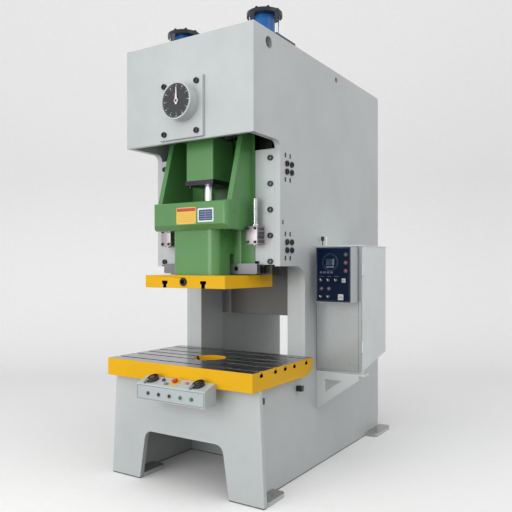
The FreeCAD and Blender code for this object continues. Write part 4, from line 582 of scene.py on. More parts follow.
def loft(bm, rings, where=Matrix(), material=0, cap_first=True, cap_last=True, smooth=True):
    """Skin over rings of equal point counts."""
    rows = [[bm.verts.new(where @ point) for point in ring] for ring in rings]
    faces = []
    for low, high in zip(rows, rows[1:]):
        for i in range(len(low)):
            j = (i + 1) % len(low)
            faces.append(bm.faces.new((low[i], low[j], high[j], high[i])))
    if cap_first:
        faces.append(bm.faces.new(list(reversed(rows[0]))))
    if cap_last:
        faces.append(bm.faces.new(rows[-1]))
    for face in faces:
        face.material_index = material
        face.smooth = smooth


def lathe(bm, profile, where=Matrix(), steps=48, material=0):
    """Body of revolution from pairs of radius and height."""
    loft(bm, [round_ring(max(radius, 0.00001), height, steps) for radius, height in profile], where, material)


def block(bm, low, high, where=Matrix(), material=0, round_by=0.0, segments=2):
    """Box between two corners, with its edges rounded."""
    made = bmesh.ops.create_cube(bm, size=1.0)["verts"]
    size = [b - a for a, b in zip(low, high)]
    middle = [(a + b) / 2 for a, b in zip(low, high)]
    for vert in made:
        vert.co = where @ Vector([m + c * s for m, c, s in zip(middle, vert.co, size)])
    faces = dict.fromkeys(face for vert in made for face in vert.link_faces)
    if round_by:
        edges = list(dict.fromkeys(edge for vert in made for edge in vert.link_edges))
        result = bmesh.ops.bevel(bm, geom=edges, offset=round_by, segments=segments, profile=0.5,
                                 affect="EDGES", clamp_overlap=True)
        faces = [face for face in faces if face.is_valid] + list(result["faces"])
    for face in faces:
        face.material_index = material


def socket_screw(bm, where, radius, height, material=0, hole=1):
    """Socket head cap screw that stands on its seat: +Z points out of the head."""
    fasteners = setting("press_fasteners")
    steps = 24
    chamfer = min(fasteners.chamfer, height / 4)
    across = 2 * radius * fasteners.socket
    rings = [round_ring(radius, 0.0, steps), round_ring(radius, height - chamfer, steps),
             round_ring(radius - chamfer, height, steps), hex_ring(across, height, steps)]
    loft(bm, rings, where, material, cap_last=False, smooth=False)
    walls = [hex_ring(across, height, steps), hex_ring(across, height * 0.35, steps)]
    loft(bm, walls, where, hole, cap_first=False, smooth=False)


def hex_nut(bm, where, across, height):
    steps = 24
    rings = [hex_ring(across * 0.96, 0.0, steps), hex_ring(across, height * 0.12, steps),
             hex_ring(across, height * 0.85, steps), round_ring(across * 0.48, height, steps)]
    loft(bm, rings, where, smooth=False)


def rectangle(low, high):
    """Outline with sharp corners."""
    return [low, (high[0], low[1]), high, (low[0], high[1])]


def round_corners(low, high, radius, steps=6):
    """Outline of a rectangle with round corners."""
    right, top = high[0] - radius, high[1] - radius
    left, foot = low[0] + radius, low[1] + radius
    points = []
    for corner, (x, y) in enumerate(((right, top), (left, top), (left, foot), (right, foot))):
        for number in range(steps + 1):
            angle = math.radians(90 * corner + 90 * number / steps)
            points.append((x + radius * math.cos(angle), y + radius * math.sin(angle)))
    return points


def centred(half_width, half_height, radius):
    """Outline with round corners round the origin."""
    return round_corners((-half_width, -half_height), (half_width, half_height), radius)


def slab(bm, outline, thickness, where=Matrix(), material=0):
    """Flat piece from an outline in its own XY plane."""
    rings = [[Vector((x, y, z)) for x, y in outline] for z in (0.0, thickness)]
    loft(bm, rings, where, material, smooth=False)


def open_frame(bm, outline, inner, thickness, where=Matrix(), material=0):
    """Flat border between two outlines with equal point counts."""
    rings = [[Vector((x, y, z)) for x, y in points] for points, z in
             ((outline, 0.0), (outline, thickness), (inner, thickness), (inner, 0.0))]
    loft(bm, rings + rings[:1], where, material, cap_first=False, cap_last=False, smooth=False)


def lettering(bm, text, size, where, material=0):
    """Flat figures, centred on their place."""
    curve = bpy.data.curves.new("figures", "FONT")
    curve.body = text
    curve.size = size
    curve.align_x = "CENTER"
    curve.align_y = "CENTER"
    curve.resolution_u = 2
    holder = bpy.data.objects.new("figures", curve)
    mesh = bpy.data.meshes.new_from_object(holder)
    mesh.transform(where)
    start = len(bm.faces)
    bm.from_mesh(mesh)
    bm.faces.ensure_lookup_table()
    for face in bm.faces[start:]:
        face.material_index = material
    bpy.data.objects.remove(holder)
    bpy.data.curves.remove(curve)
    bpy.data.meshes.remove(mesh)


def islands(node):
    """Boxes of the separate solids of a node, as (lowest corner, highest corner)."""
    bm = bmesh.new()
    bm.from_mesh(NODES[node].data)
    bmesh.ops.remove_doubles(bm, verts=bm.verts, dist=0.00002)
    seen, found = set(), []
    for start in bm.verts:
        if start in seen:
            continue
        stack, low, high = [start], start.co.copy(), start.co.copy()
        seen.add(start)
        while stack:
            vert = stack.pop()
            for axis in range(3):
                low[axis] = min(low[axis], vert.co[axis])
                high[axis] = max(high[axis], vert.co[axis])
            for edge in vert.link_edges:
                other = edge.other_vert(vert)
                if other not in seen:
                    seen.add(other)
                    stack.append(other)
        found.append((low, high))
    bm.free()
    return found


def piece(name, bm, body, materials, stands_for=(), flat_angle=35.0):
    """Finished object that rides on a body and may stand for CAD nodes."""
    bmesh.ops.recalc_face_normals(bm, faces=bm.faces)
    mesh = bpy.data.meshes.new(name)
    bm.to_mesh(mesh)
    bm.free()
    item = bpy.data.objects.new(name, mesh)
    bpy.context.scene.collection.objects.link(item)
    for material in materials:
        mesh.materials.append(material)
    mesh.set_sharp_from_angle(angle=math.radians(flat_angle))
    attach(item, body)
    if stands_for:
        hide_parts(*stands_for)


def dress(node, material, edge=0.0):
    """Give a CAD node its finish, and break its edges."""
    item = NODES[node]
    for slot in item.material_slots:
        slot.link = "OBJECT"
        slot.material = material
    if not edge:
        return
    weld = item.modifiers.new("Join", "WELD")
    weld.merge_threshold = 0.00002
    rounding = item.modifiers.new("Broken edges", "BEVEL")
    rounding.width = edge
    rounding.segments = 2
    rounding.limit_method = "ANGLE"
    rounding.angle_limit = math.radians(35.0)
    rounding.use_clamp_overlap = True
    rounding.harden_normals = False
    smooth = item.modifiers.new("Even normals", "WEIGHTED_NORMAL")
    smooth.keep_sharp = True


def dress_all(finishes):
    """Finish and edge for the CAD nodes named in each row."""
    for nodes, material, edge in finishes:
        for node in nodes:
            dress(node, material, edge)


# ---------------------------------------------------------------- operators

class PRESS_OT_frame(bpy.types.Operator):
    """Enamel and broken edges on the welded frame"""
    bl_idname = "press.frame"
    bl_label = "Frame"

    def execute(self, context):
        edges = setting("press_edges")
        grey = frame_enamel()
        pad_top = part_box("foot_pads")[1][2]
        worn_top = (*between(z=(pad_top - 0.001, pad_top + 1.0)), (0.24, 0.24, 0.225))
        dress_all([
            (("side_plate_right", "side_plate_left", "crown_plates", "bearing_walls", "drive_bay_plates",
              "throat_posts", "base_front_plate", "bed", "gib_plates", "slide_guides"), grey, edges.plate),
            # painted light: the shelf and its gussets get a lighter copy of the frame paint, standing in for
            # the strong light on them
            (("cabinet_shelf",), enamel("shelf_enamel", shade(paint("frame"), 1.3)), edges.plate),
            (("foot_pads",), enamel("pad_enamel", paint("frame"), dust=0.1, spots=[worn_top]),
             edges.machined),
            (("balance_plate",), black_enamel(), edges.plate),
            (("motor",), enamel("motor_enamel", (0.10, 0.13, 0.15), rough=0.42), edges.machined),
            (("switchgear",), moulded("switchgear_plastic", (0.30, 0.31, 0.32), rough=0.45), edges.machined),
        ])
        self.crown_skin(grey)
        self.rear_screws()
        return {"FINISHED"}

    def crown_skin(self, grey):
        """One smooth sheet over the front of the crown, from side to side."""
        inset, thickness, sunk = 0.0052, 0.0007, 0.0004
        low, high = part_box("crown_plates")
        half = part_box("side_plate_right")[1][0] - inset
        bm = bmesh.new()
        slab(bm, rectangle((-half, low[2] + inset), (half, high[2] - inset)), thickness,
             front(0.0, low[1] + sunk, 0.0))
        piece("crown_front_sheet", bm, "frame", [grey])

    def rear_screws(self):
        """Low socket screws round the rear cover."""
        margin, cover_foot, radius, height = 0.030, 1.160, 0.012, 0.007
        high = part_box("drive_bay_plates")[1]
        across = evenly(margin - high[0], high[0] - margin, 5)
        up = evenly(cover_foot + margin, high[2] - margin, 6)
        spots = [(x, z) for x in across for z in (up[0], up[-1])]
        spots += [(x, z) for z in up[1:-1] for x in (across[0], across[-1])]
        bm = bmesh.new()
        for x, z in spots:
            socket_screw(bm, seat((x, high[1], z), (0.0, 1.0, 0.0)), radius, height)
        piece("rear_cover_screws", bm, "frame", [black_oxide(), ground_steel()])


class PRESS_OT_slide(bpy.types.Operator):
    """Enamel and bare guide faces on the slide, its rod and its plate"""
    bl_idname = "press.slide"
    bl_label = "Slide and rod"

    def execute(self, context):
        edges = setting("press_edges")
        dress_all([
            (("slide",), slide_finish(), edges.casting),
            (("connecting_rod", "rod_cap"), slide_enamel(), edges.casting),
            (("rod_flange",), machined("flange_metal", (0.055, 0.045, 0.06), rough=0.34,
                                       stretch=(5.0, 200.0, 200.0)), edges.machined),
            (("slide_plate",), self.plate_finish(), edges.machined),
            (("ball_socket",), bronze(), edges.machined),
            (("knockout_bar",), machined("bar_metal", (0.19, 0.19, 0.205), rough=0.34,
                                         stretch=(4.0, 240.0, 240.0)), edges.machined),
            (("adjusting_screw", "balance_rods"), bright_steel(), edges.machined),
        ])
        self.shank()
        self.yellow_plate()
        self.blue_plate()
        return {"FINISHED"}

    def plate_finish(self):
        """Yellow enamel, with the insides of the slots under the plate painted dark red-brown as their shade.
        """
        lip, slot_from, slot_to, slot_depth = 0.0016, 0.131, 0.179, 0.0475
        low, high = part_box("slide_plate")
        # painted shade: dark red-brown bare steel inside the slots
        slot = between((slot_from, slot_to), (low[1] + lip, high[1] - lip),
                       (low[2] - 1.0, low[2] + slot_depth))
        return part_painted("slide_plate_finish", paint("bolster"), (0.06, 0.035, 0.03),
                            shade_and_rust=[(*slot, (0.060, 0.020, 0.012))], specular=0.18)

    def shank(self):
        """Clamping screw of the shank, with its socket at the front."""
        head = 0.03
        low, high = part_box("shank_screw")
        middle = middle_of(low, high)
        radius = (high[0] - low[0]) / 2
        bm = bmesh.new()
        lathe(bm, [(radius * 0.8, 0.0), (radius * 0.8, high[1] - low[1] - head)],
              front(middle.x, high[1], middle.z), 32)
        socket_screw(bm, front(middle.x, low[1] + head, middle.z), radius, head, hole=0)
        piece("shank_clamp_screw", bm, "slide", [black_oxide()], ("shank_screw",))

    def yellow_plate(self):
        """Yellow plate with a red head and amber rules, riveted to the front of the band."""
        thick = setting("press_slide").plate
        where = front(-0.0165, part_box("slide")[0][1], 1.722)
        bm = bmesh.new()
        slab(bm, centred(0.0795, 0.053, 0.004), thick, where, 1)
        slab(bm, round_corners((-0.075, 0.027), (0.075, 0.048), 0.002), thick + 0.0003, where, 0)
        self.rules(bm, where, 0.066, 0.0024, evenly(0.014, -0.036, 5), thick + 0.0003)
        self.rivets(bm, where, (0.0745, 0.048), [(0.0026, thick + 0.0004), (0.0012, thick + 0.0012)], 3)
        piece("band_plate_yellow", bm, "slide",
              [enamel("plate_red", (0.52, 0.045, 0.02), rough=0.35, wear=0.0),
               enamel("plate_yellow", (0.80, 0.52, 0.07), rough=0.35, wear=0.0),
               enamel("plate_amber", (0.72, 0.40, 0.05), rough=0.4, wear=0.0),
               enamel("plate_dark", (0.06, 0.05, 0.04), rough=0.4, wear=0.0)])

    def blue_plate(self):
        """Blue plate with pale rules in a bright border, riveted to the front of the band."""
        thick = setting("press_slide").plate
        sheet = thick * 0.6
        where = front(0.139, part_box("slide")[0][1], 1.7205)
        outer = centred(0.062, 0.043, 0.005)
        bm = bmesh.new()
        slab(bm, outer, sheet, where, 0)
        open_frame(bm, outer, centred(0.053, 0.034, 0.003), thick, where, 1)
        self.rules(bm, where, 0.046, 0.002, evenly(0.021, -0.0225, 4), sheet + 0.0003)
        slab(bm, rectangle((-0.004, -0.030), (-0.001, 0.028)), sheet + 0.0004, where, 2)
        self.rivets(bm, where, (0.0575, 0.0385), [(0.0024, thick + 0.0004), (0.0012, thick + 0.0010)], 1)
        piece("band_plate_blue", bm, "slide",
              [enamel("plate_blue", (0.03, 0.06, 0.16), rough=0.3, wear=0.0),
               machined("plate_metal", (0.55, 0.58, 0.60), rough=0.35),
               enamel("plate_rule", (0.22, 0.30, 0.38), wear=0.0)])

    def rules(self, bm, where, half_length, half_width, levels, height):
        """Level bars, one at each of the levels."""
        for level in levels:
            slab(bm, rectangle((-half_length, level - half_width), (half_length, level + half_width)), height,
                 where, 2)

    def rivets(self, bm, where, reach, crown, material):
        """Rivet in each corner, with the edge and the top of its crown as (radius, height)."""
        for x in (-reach[0], reach[0]):
            for z in (-reach[1], reach[1]):
                lathe(bm, [(crown[0][0], 0.0), *crown], where @ move(x, z, 0.0), 12, material)


class PRESS_OT_knockout(bpy.types.Operator):
    """Finned brackets and threaded stop screws of the knock-out"""
    bl_idname = "press.knockout"
    bl_label = "Knock-out"

    def execute(self, context):
        self.brackets()
        self.stop_screws()
        return {"FINISHED"}

    def brackets(self):
        """Flat cheek at the front of each bracket, and fins on the block behind it."""
        cheek_thickness, block_side, block_end = 0.016, 0.007, 0.003
        fin = setting("press_slide").fin
        bm = bmesh.new()
        for low, high in islands("knockout_brackets"):
            cheek = low[1] + cheek_thickness
            block(bm, low, (high[0], cheek, high[2]), material=0, round_by=0.003)
            block(bm, (low[0] + block_side, cheek - 0.002, low[2] + block_end),
                  (high[0] - block_side, high[1], high[2] - block_end), material=1)
            count = int((high[2] - low[2]) / (fin * 1.7))
            for foot in evenly(low[2], high[2] - fin, count):
                block(bm, (low[0] + 0.001, cheek, foot), (high[0] - 0.001, high[1], foot + fin), material=1,
                      round_by=0.0012, segments=1)
        face = machined("bracket_face", (0.38, 0.345, 0.365), rough=0.42, stretch=(200.0, 200.0, 6.0),
                        stain=0.1)
        fins = machined("bracket_fins", (0.20, 0.19, 0.19), rough=0.42, stretch=(5.0, 200.0, 200.0))
        piece("knockout_bracket_pair", bm, "frame", [face, fins], ("knockout_brackets",))

    def stop_screws(self):
        """Threaded rods with a nut on each bracket."""
        end, nut = 0.002, 0.012
        pitch = setting("press_fasteners").pitch
        bracket_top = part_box("knockout_brackets")[1][2]
        bm = bmesh.new()
        for low, high in islands("knockout_stop_screws"):
            width, length = high[0] - low[0], high[2] - low[2]
            crest = width * 0.98 / 2
            profile = [(crest * 0.8, 0.0)]
            for turn in range(int((length - 2 * end) / pitch)):
                profile += [(crest * 0.90, end + pitch * turn), (crest, end + pitch * (turn + 0.5))]
            profile.append((crest * 0.8, length))
            middle = middle_of(low, high)
            where = move(middle.x, middle.y, low[2])
            lathe(bm, profile, where, 24)
            hex_nut(bm, where @ move(0.0, 0.0, bracket_top - low[2]), width * 1.1, nut)
        piece("knockout_threads", bm, "frame", [bright_steel()], ("knockout_stop_screws",),
              flat_angle=60.0)


class PRESS_OT_bolster(bpy.types.Operator):
    """Yellow sides, ground top and slots of the bolster, painted dark inside as shade"""
    bl_idname = "press.bolster"
    bl_label = "Bolster"

    def execute(self, context):
        low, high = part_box("bolster")
        dress("bolster", self.finish(low, high), setting("press_edges").machined)
        self.slot_edges(low, high)
        return {"FINISHED"}

    def finish(self, low, high):
        """Ground top, and slots painted near-black inside as their shade, and rusty at their ends."""
        edge, neck, depth, neck_end, end = 0.0016, 0.0185, 0.0420, 0.560, 0.549
        top = high[2]
        inside = (low[1] + edge, high[1] - edge)
        under = (top - depth, top - neck + 0.0001)
        # painted shade: near-black in the mouths and the undercuts of the slots; rust brown at the undercut
        # ends
        slots = [(*between((-1.0, neck_end), inside, (top - neck, top + 1.0)), (0.022, 0.019, 0.020)),
                 (*between((-1.0, end), inside, under), (0.018, 0.014, 0.013)),
                 (*between((end - 0.0001, high[0] - edge), inside, under), (0.30, 0.10, 0.02))]
        return part_painted("bolster_finish", paint("bolster"), (0.25, 0.25, 0.275), shade_and_rust=slots,
                            rough=(0.14, 0.28), specular=0.18, above=top - 0.0022, keep=(0.0, -0.709, 0.1088))

    def slot_edges(self, low, high):
        """Bright line along each edge of the slots, broken by the hole in the middle one: bright worn steel,
        and a painted highlight where the light catches the edges.
        """
        middles, through_hole, half_slot = (-0.9795, -0.8185, -0.7005, -0.5825, -0.4215), -0.7005, 0.0116
        end, hole, half_line, sunk, proud = 0.002, 0.112, 0.0010, 0.0004, 0.0002
        left, right = low[0] + end, high[0] - end
        # painted highlight: a raised strip of bright steel along each slot edge
        bm = bmesh.new()
        for middle in middles:
            runs = [(left, -hole), (hole, right)] if middle == through_hole else [(left, right)]
            for y in (middle - half_slot, middle + half_slot):
                for start, stop in runs:
                    block(bm, (start, y - half_line, high[2] - sunk), (stop, y + half_line, high[2] + proud))
        piece("slot_edges", bm, "frame", [bright_steel()])


class PRESS_OT_drive(bpy.types.Operator):
    """Metal of the crankshaft, gears, flywheel, clutch and belts"""
    bl_idname = "press.drive"
    bl_label = "Drive"

    def execute(self, context):
        edges = setting("press_edges")
        dress_all([
            (("crankshaft", "pinion_shaft"), ground_steel(), edges.machined),
            (("shaft_bushes",), bronze(), 0.0),
            (("main_gear",), machined("gear_metal", (0.20, 0.19, 0.18), rough=0.4,
                                      stretch=(60.0, 60.0, 60.0)), 0.0),
            (("flywheel",), enamel("flywheel_enamel", (0.045, 0.05, 0.055), rough=0.4), edges.machined),
            (("clutch_brake",), enamel("clutch_enamel", (0.05, 0.055, 0.06), rough=0.42), edges.machined),
            (("motor_pulley",), machined("pulley_metal", (0.12, 0.12, 0.125), rough=0.4), edges.machined),
            (("v_belts",), moulded("belt_rubber", (0.02, 0.02, 0.02), rough=0.7), 0.0),
        ])
        return {"FINISHED"}


class PRESS_OT_balance(bpy.types.Operator):
    """Blue balance cylinders with black flanges, tie rods and nuts"""
    bl_idname = "press.balance"
    bl_label = "Balance cylinders"

    def execute(self, context):
        head, flange_thickness, bolt_circle = 0.015, 0.024, 0.098
        across, nut, tie = 0.022, 0.010, 0.006
        boxes = islands("balance_cylinders")
        flange_top = boxes[0][1][2] - head
        flange = flange_top - flange_thickness
        black_head = (*between(z=(flange - 0.0005, 4.0)), (0.014, 0.015, 0.018))
        blue = enamel("cylinder_enamel", paint("cylinder"), rough=0.25, coat=0.1, dust=0.05, specular=0.35,
                      spots=[black_head])
        dress("balance_cylinders", blue, setting("press_edges").machined)
        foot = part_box("balance_plate")[1][2]
        bm = bmesh.new()
        for low, high in boxes:
            middle = middle_of(low, high)
            for number in range(8):
                angle = math.radians(45.0 * number)
                x, y = middle.x + bolt_circle * math.cos(angle), middle.y + bolt_circle * math.sin(angle)
                hex_nut(bm, move(x, y, flange_top), across, nut)
                if number % 4 == 1:
                    lathe(bm, [(tie, 0.0), (tie, flange - foot)], move(x, y, foot), 20, 1)
                    hex_nut(bm, move(x, y, foot), across, nut)
            collar = [(0.086, 0.0), (0.086, 0.008), (0.084, 0.010), (0.0685, 0.010), (0.0685, 0.0)]
            lathe(bm, collar, move(middle.x, middle.y, foot), 56, 2)
            valve = [(0.010, 0.0), (0.010, 0.006), (0.006, 0.010), (0.006, 0.0145), (0.004, 0.0148)]
            lathe(bm, valve, move(middle.x, middle.y, flange_top), 24, 3)
        brass = machined("brass", (0.55, 0.38, 0.14), rough=0.3)
        piece("balance_ties", bm, "frame", [black_oxide(), bright_steel(), black_enamel(), brass])
        return {"FINISHED"}


class PRESS_OT_fasteners(bpy.types.Operator):
    """Socket screws of the guides, the dial plate and the brackets, and the locks of the side plates"""
    bl_idname = "press.fasteners"
    bl_label = "Fasteners"

    def execute(self, context):
        socket = machined("socket_metal", (0.16, 0.165, 0.17), rough=0.3, stretch=(90.0, 90.0, 90.0))
        self.front_screws([black_oxide(), socket])
        self.side_screws([black_oxide(), socket])
        return {"FINISHED"}

    def front_screws(self, metals):
        bm = bmesh.new()
        for low, high in islands("cap_screws"):
            middle = middle_of(low, high)
            socket_screw(bm, front(middle.x, high[1], middle.z), (high[0] - low[0]) / 2, high[1] - low[1])
        piece("front_screws", bm, "frame", metals, ("cap_screws",))

    def side_screws(self, metals):
        """Screws and flat locks on both sides, and one more lock on each side plate."""
        flat, lock_y, lock_z = 0.006, -0.620, 1.681
        bm = bmesh.new()
        for low, high in islands("gib_screws"):
            middle = middle_of(low, high)
            side, face = (1.0, low[0]) if high[0] > 0.0 else (-1.0, high[0])
            where = seat((face, middle.y, middle.z), (side, 0.0, 0.0))
            reach, half = high[0] - low[0], (high[2] - low[2]) / 2
            if reach > flat:
                socket_screw(bm, where, half, reach)
            else:
                self.lock(bm, where, half, reach)
        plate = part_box("side_plate_right")[1][0]
        for side in (-1.0, 1.0):
            self.lock(bm, seat((side * plate, lock_y, lock_z), (side, 0.0, 0.0)), 0.014, 0.002)
        piece("side_screws", bm, "frame", metals, ("gib_screws",))

    def lock(self, bm, where, half, reach):
        """Narrow upright lock plate with a low round screw."""
        across = half * 0.42
        slab(bm, centred(half, across, across * 0.98), reach, where, 0)
        screw = [(across * 0.62, reach), (across * 0.62, reach + 0.0012), (across * 0.4, reach + 0.0016)]
        lathe(bm, screw, where, 16, 1)


class PRESS_OT_dial(bpy.types.Operator):
    """Angle dial with ticks, figures, hand and pointer"""
    bl_idname = "press.dial"
    bl_label = "Angle dial"

    def execute(self, context):
        edges = setting("press_edges")
        dress("dial_cover_plate", frame_enamel(), edges.plate)
        dress("dial_case", frame_enamel(), edges.machined)
        low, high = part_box("dial_case")
        self.face(low, high)
        self.pointer(middle_of(low, high).z)
        return {"FINISHED"}

    def face(self, low, high):
        """Dark disc with a tick every 10 degrees, a figure every 30 degrees, and a red hand."""
        sunk, case_rim, margin, figure_gap = 0.009, 0.0102, 0.006, 0.010
        disc, ink = 0.0005, 0.0003
        dial = setting("press_dial")
        radius = (high[0] - low[0]) / 2 - case_rim
        outer = radius - margin
        ground = front(0.0, low[1] + sunk, middle_of(low, high).z)
        top = ground @ move(0.0, 0.0, disc)
        bm = bmesh.new()
        lathe(bm, [(radius, 0.0), (radius, disc)], ground, 72, 0)
        for degrees in range(0, 360, 10):
            turned = spin(-degrees)
            long = degrees % 30 == 0
            reach, half = (dial.tick, 0.0018) if long else (dial.tick * 0.45, 0.0006)
            slab(bm, rectangle((-half, outer - reach), (half, outer)), ink, top @ turned, 1)
            if long:
                spot = turned @ Vector((0.0, outer - reach - figure_gap, ink))
                lettering(bm, str(degrees), dial.numeral, top @ Matrix.Translation(spot), 3)
        hand = [(-0.003, 0.012), (0.003, 0.012), (0.0008, 0.056), (-0.0008, 0.056)]
        slab(bm, hand, 0.0004, top @ spin(22.0), 2)
        piece("dial_face", bm, "frame",
              [moulded("dial_grey", (0.022, 0.024, 0.029), rough=0.5), white_ink(),
               moulded("hand_red", (0.60, 0.16, 0.13), rough=0.4),
               moulded("figure_ink", (0.30, 0.31, 0.32), rough=0.5)])

    def pointer(self, middle):
        """White pointer with a dark red hub, round the middle of the dial."""
        low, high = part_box("dial_pointer")
        hub, tip = (high[0] - low[0]) / 2, high[2] - middle - 0.001
        where = front(0.0, high[1], middle)
        arm = [(-0.0065, -0.022), (0.0065, -0.022), (0.0075, 0.0),
               (0.0020, tip), (-0.0020, tip), (-0.0075, 0.0)]
        bm = bmesh.new()
        slab(bm, arm, 0.0022, where @ move(0.0, 0.0, 0.0008), 0)
        lathe(bm, [(hub, 0.0), (hub, 0.0036), (hub - 0.0015, 0.0046), (hub * 0.62, 0.0046),
                   (hub * 0.60, 0.0038)], where, 36, 0)
        lathe(bm, [(hub * 0.60, 0.0036), (hub * 0.60, 0.0044), (hub * 0.3, 0.0049)], where, 24, 1)
        piece("dial_hand", bm, "crank", [white_ink(), moulded("hub_red", (0.12, 0.015, 0.012), rough=0.3)],
              ("dial_pointer",))


class PRESS_OT_controls(bpy.types.Operator):
    """Control box with its palm buttons, stop, selector, lamps and front buttons"""
    bl_idname = "press.controls"
    bl_label = "Control box"

    def execute(self, context):
        edges = setting("press_edges")
        low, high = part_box("control_box")
        sunk, half, green = 0.007, 0.0125, (0.0, 0.16, 0.09)
        face = low[1] + sunk
        lamps = [(*between((x - half, x + half), (-2.0, face - 0.0003), (0.60, 0.65)), green)
                 for x in (0.142, 0.226)]
        box = enamel("box_enamel", (0.43, 0.475, 0.485), rough=0.34, spots=lamps)
        dress("control_box", box, edges.machined)
        dress("socket_boxes", black_plastic(), edges.machined)
        self.palms()
        self.stop()
        self.selector()
        self.lamps()
        self.selector_collar()
        self.front_buttons()
        self.front_lid(low, high, face)
        return {"FINISHED"}

    def on_top(self, across, from_rear):
        """Place on the sloping top, by its distances from the middle and from the rear edge."""
        rear, rear_top, run, fall = -1.078, 0.716, 0.112, 0.038
        middle = middle_of(*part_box("control_box"))
        spot = (middle.x + across, rear - from_rear, rear_top - from_rear * fall / run)
        return seat(spot, (0.0, -fall, run))

    def palms(self):
        """Black mushroom heads in tilted black shrouds, each with a grey tongue to the front left."""
        for side, across in (("left", -0.178), ("right", 0.178)):
            where = self.on_top(across, 0.056)
            bm = bmesh.new()
            lathe(bm, [(0.012, -0.012), (0.012, 0.0075), (0.0215, 0.0066), (0.0238, 0.0085), (0.024, 0.012),
                       (0.0225, 0.0170), (0.018, 0.0203), (0.010, 0.0219), (0.003, 0.0223)], where)
            lathe(bm, [(0.0135, 0.0), (0.0135, 0.0055)], where, 32)
            piece("palm_head_" + side, bm, "palm_" + side, [black_plastic()],
                  ("palm_button_" + side,))
            bm = bmesh.new()
            self.shroud(bm, where)
            self.tongue(bm, where)
            grey = enamel("shroud_enamel", (0.16, 0.155, 0.155), rough=0.4)
            piece("palm_shroud_" + side, bm, "frame", [grey, black_plastic()])

    def shroud(self, bm, where):
        """Ring whose rim rises to its rear right."""
        inner, outer, foot, steps = 0.0323, 0.0387, 0.0006, 48
        lowest, rise, highest_at = 0.0128, 0.0050, math.radians(65.0)
        rings = []
        for number in range(steps + 1):
            angle = 2 * math.pi * number / steps
            rim = lowest + rise * (1.0 + math.cos(angle - highest_at))
            corners = ((inner, foot), (outer, foot), (outer, rim), (inner, rim))
            x, y = math.cos(angle), math.sin(angle)
            rings.append([Vector((reach * x, reach * y, z)) for reach, z in corners])
        loft(bm, rings, where, 1, cap_first=False, cap_last=False, smooth=False)

    def tongue(self, bm, where):
        """Grey lip that slopes down from the rim to the top of the box."""
        along, across, up = Vector((-0.53, -0.85, 0.0)), Vector((0.85, -0.53, 0.0)), Vector((0.0, 0.0, 1.0))
        rings = []
        for reach, half, low, high in ((0.0270, 0.012, 0.0136, 0.0166), (0.0400, 0.012, 0.0130, 0.0160),
                                       (0.0500, 0.011, 0.0040, 0.0095), (0.0600, 0.009, 0.0004, 0.0050)):
            section = rectangle((-half, low), (half, high))
            rings.append([along * reach + across * aside + up * z for aside, z in section])
        loft(bm, rings, where, 0, smooth=False)

    def stop(self):
        """Red stop with three white marks, on its yellow collar."""
        where = self.on_top(0.0, 0.056)
        bm = bmesh.new()
        lathe(bm, [(0.012, -0.012), (0.012, 0.0115), (0.0165, 0.0105), (0.0188, 0.0122), (0.019, 0.0158),
                   (0.0175, 0.0205), (0.0135, 0.0235), (0.006, 0.0243)], where)
        for degrees in (0.0, 120.0, 240.0):
            mark = where @ spin(degrees) @ move(0.0, 0.0, 0.0240)
            slab(bm, rectangle((0.004, -0.0011), (0.011, 0.0011)), 0.0005, mark, 1)
        red = moulded("red_plastic", (0.52, 0.016, 0.012), rough=0.25)
        piece("stop_mushroom", bm, "stop_button", [red, white_ink()], ("emergency_stop",))

        bm = bmesh.new()
        lathe(bm, [(0.0303, -0.001), (0.0303, 0.0028), (0.0285, 0.0036), (0.0128, 0.0036), (0.0128, 0.003)],
              where, 56)
        piece("stop_collar", bm, "frame", [moulded("yellow_plastic", (0.78, 0.42, 0.01), rough=0.35)])

    def selector(self):
        """Blue selector with a white mark."""
        top = 0.0183
        where = self.on_top(-0.090, 0.056)
        bm = bmesh.new()
        lathe(bm, [(0.0120, 0.0006), (0.0120, 0.0080), (0.0105, 0.0100)], where, 40)
        block(bm, (-0.0035, -0.0115, 0.006), (0.0035, 0.0115, top), where, round_by=0.0012)
        slab(bm, rectangle((-0.0008, 0.001), (0.0008, 0.010)), 0.0002, where @ move(0.0, 0.0, top), 1)
        blue = moulded("blue_plastic", (0.012, 0.085, 0.34), rough=0.28)
        piece("mode_selector", bm, "selector", [blue, white_ink()], ("box_selector",))

    def selector_collar(self):
        """Bright ring that the selector turns in."""
        bm = bmesh.new()
        lathe(bm, [(0.0155, 0.0), (0.0155, 0.0022), (0.0142, 0.0030), (0.0124, 0.0030), (0.0124, 0.0)],
              self.on_top(-0.090, 0.056), 40)
        piece("selector_collar", bm, "frame", [bright_steel()])

    def lamps(self):
        """Pink and olive lamps in bright collars."""
        for name, across, from_rear, colour in (("pink_lamp", 0.090, 0.056, (0.42, 0.13, 0.20)),
                                                ("olive_lamp", -0.045, 0.088, (0.12, 0.16, 0.035))):
            where = self.on_top(across, from_rear)
            bm = bmesh.new()
            lathe(bm, [(0.0150, 0.0), (0.0150, 0.0022), (0.0138, 0.0030), (0.0124, 0.0030)], where, 40, 0)
            lathe(bm, [(0.0123, 0.001), (0.0123, 0.0078), (0.0105, 0.0100), (0.006, 0.0112), (0.002, 0.0115)],
                  where, 40, 1)
            lens = moulded(name + "_lens", colour, rough=0.14, tone=0.02)
            piece(name, bm, "frame", [bright_steel(), lens])

    def front_buttons(self):
        """Three black buttons with broken edges and a shallow dish."""
        edge, dish = 0.0016, 0.0008
        for number in (1, 2, 3):
            node = "front_button_%d" % number
            low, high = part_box(node)
            middle = middle_of(low, high)
            radius, reach = (high[0] - low[0]) / 2, high[1] - low[1]
            bm = bmesh.new()
            lathe(bm, [(radius, 0.0), (radius, reach - edge), (radius - edge, reach), (radius * 0.55, reach),
                       (radius * 0.5, reach - dish)], front(middle.x, high[1], middle.z), 36)
            piece("black_button_%d" % number, bm, node, [black_plastic()], (node,))

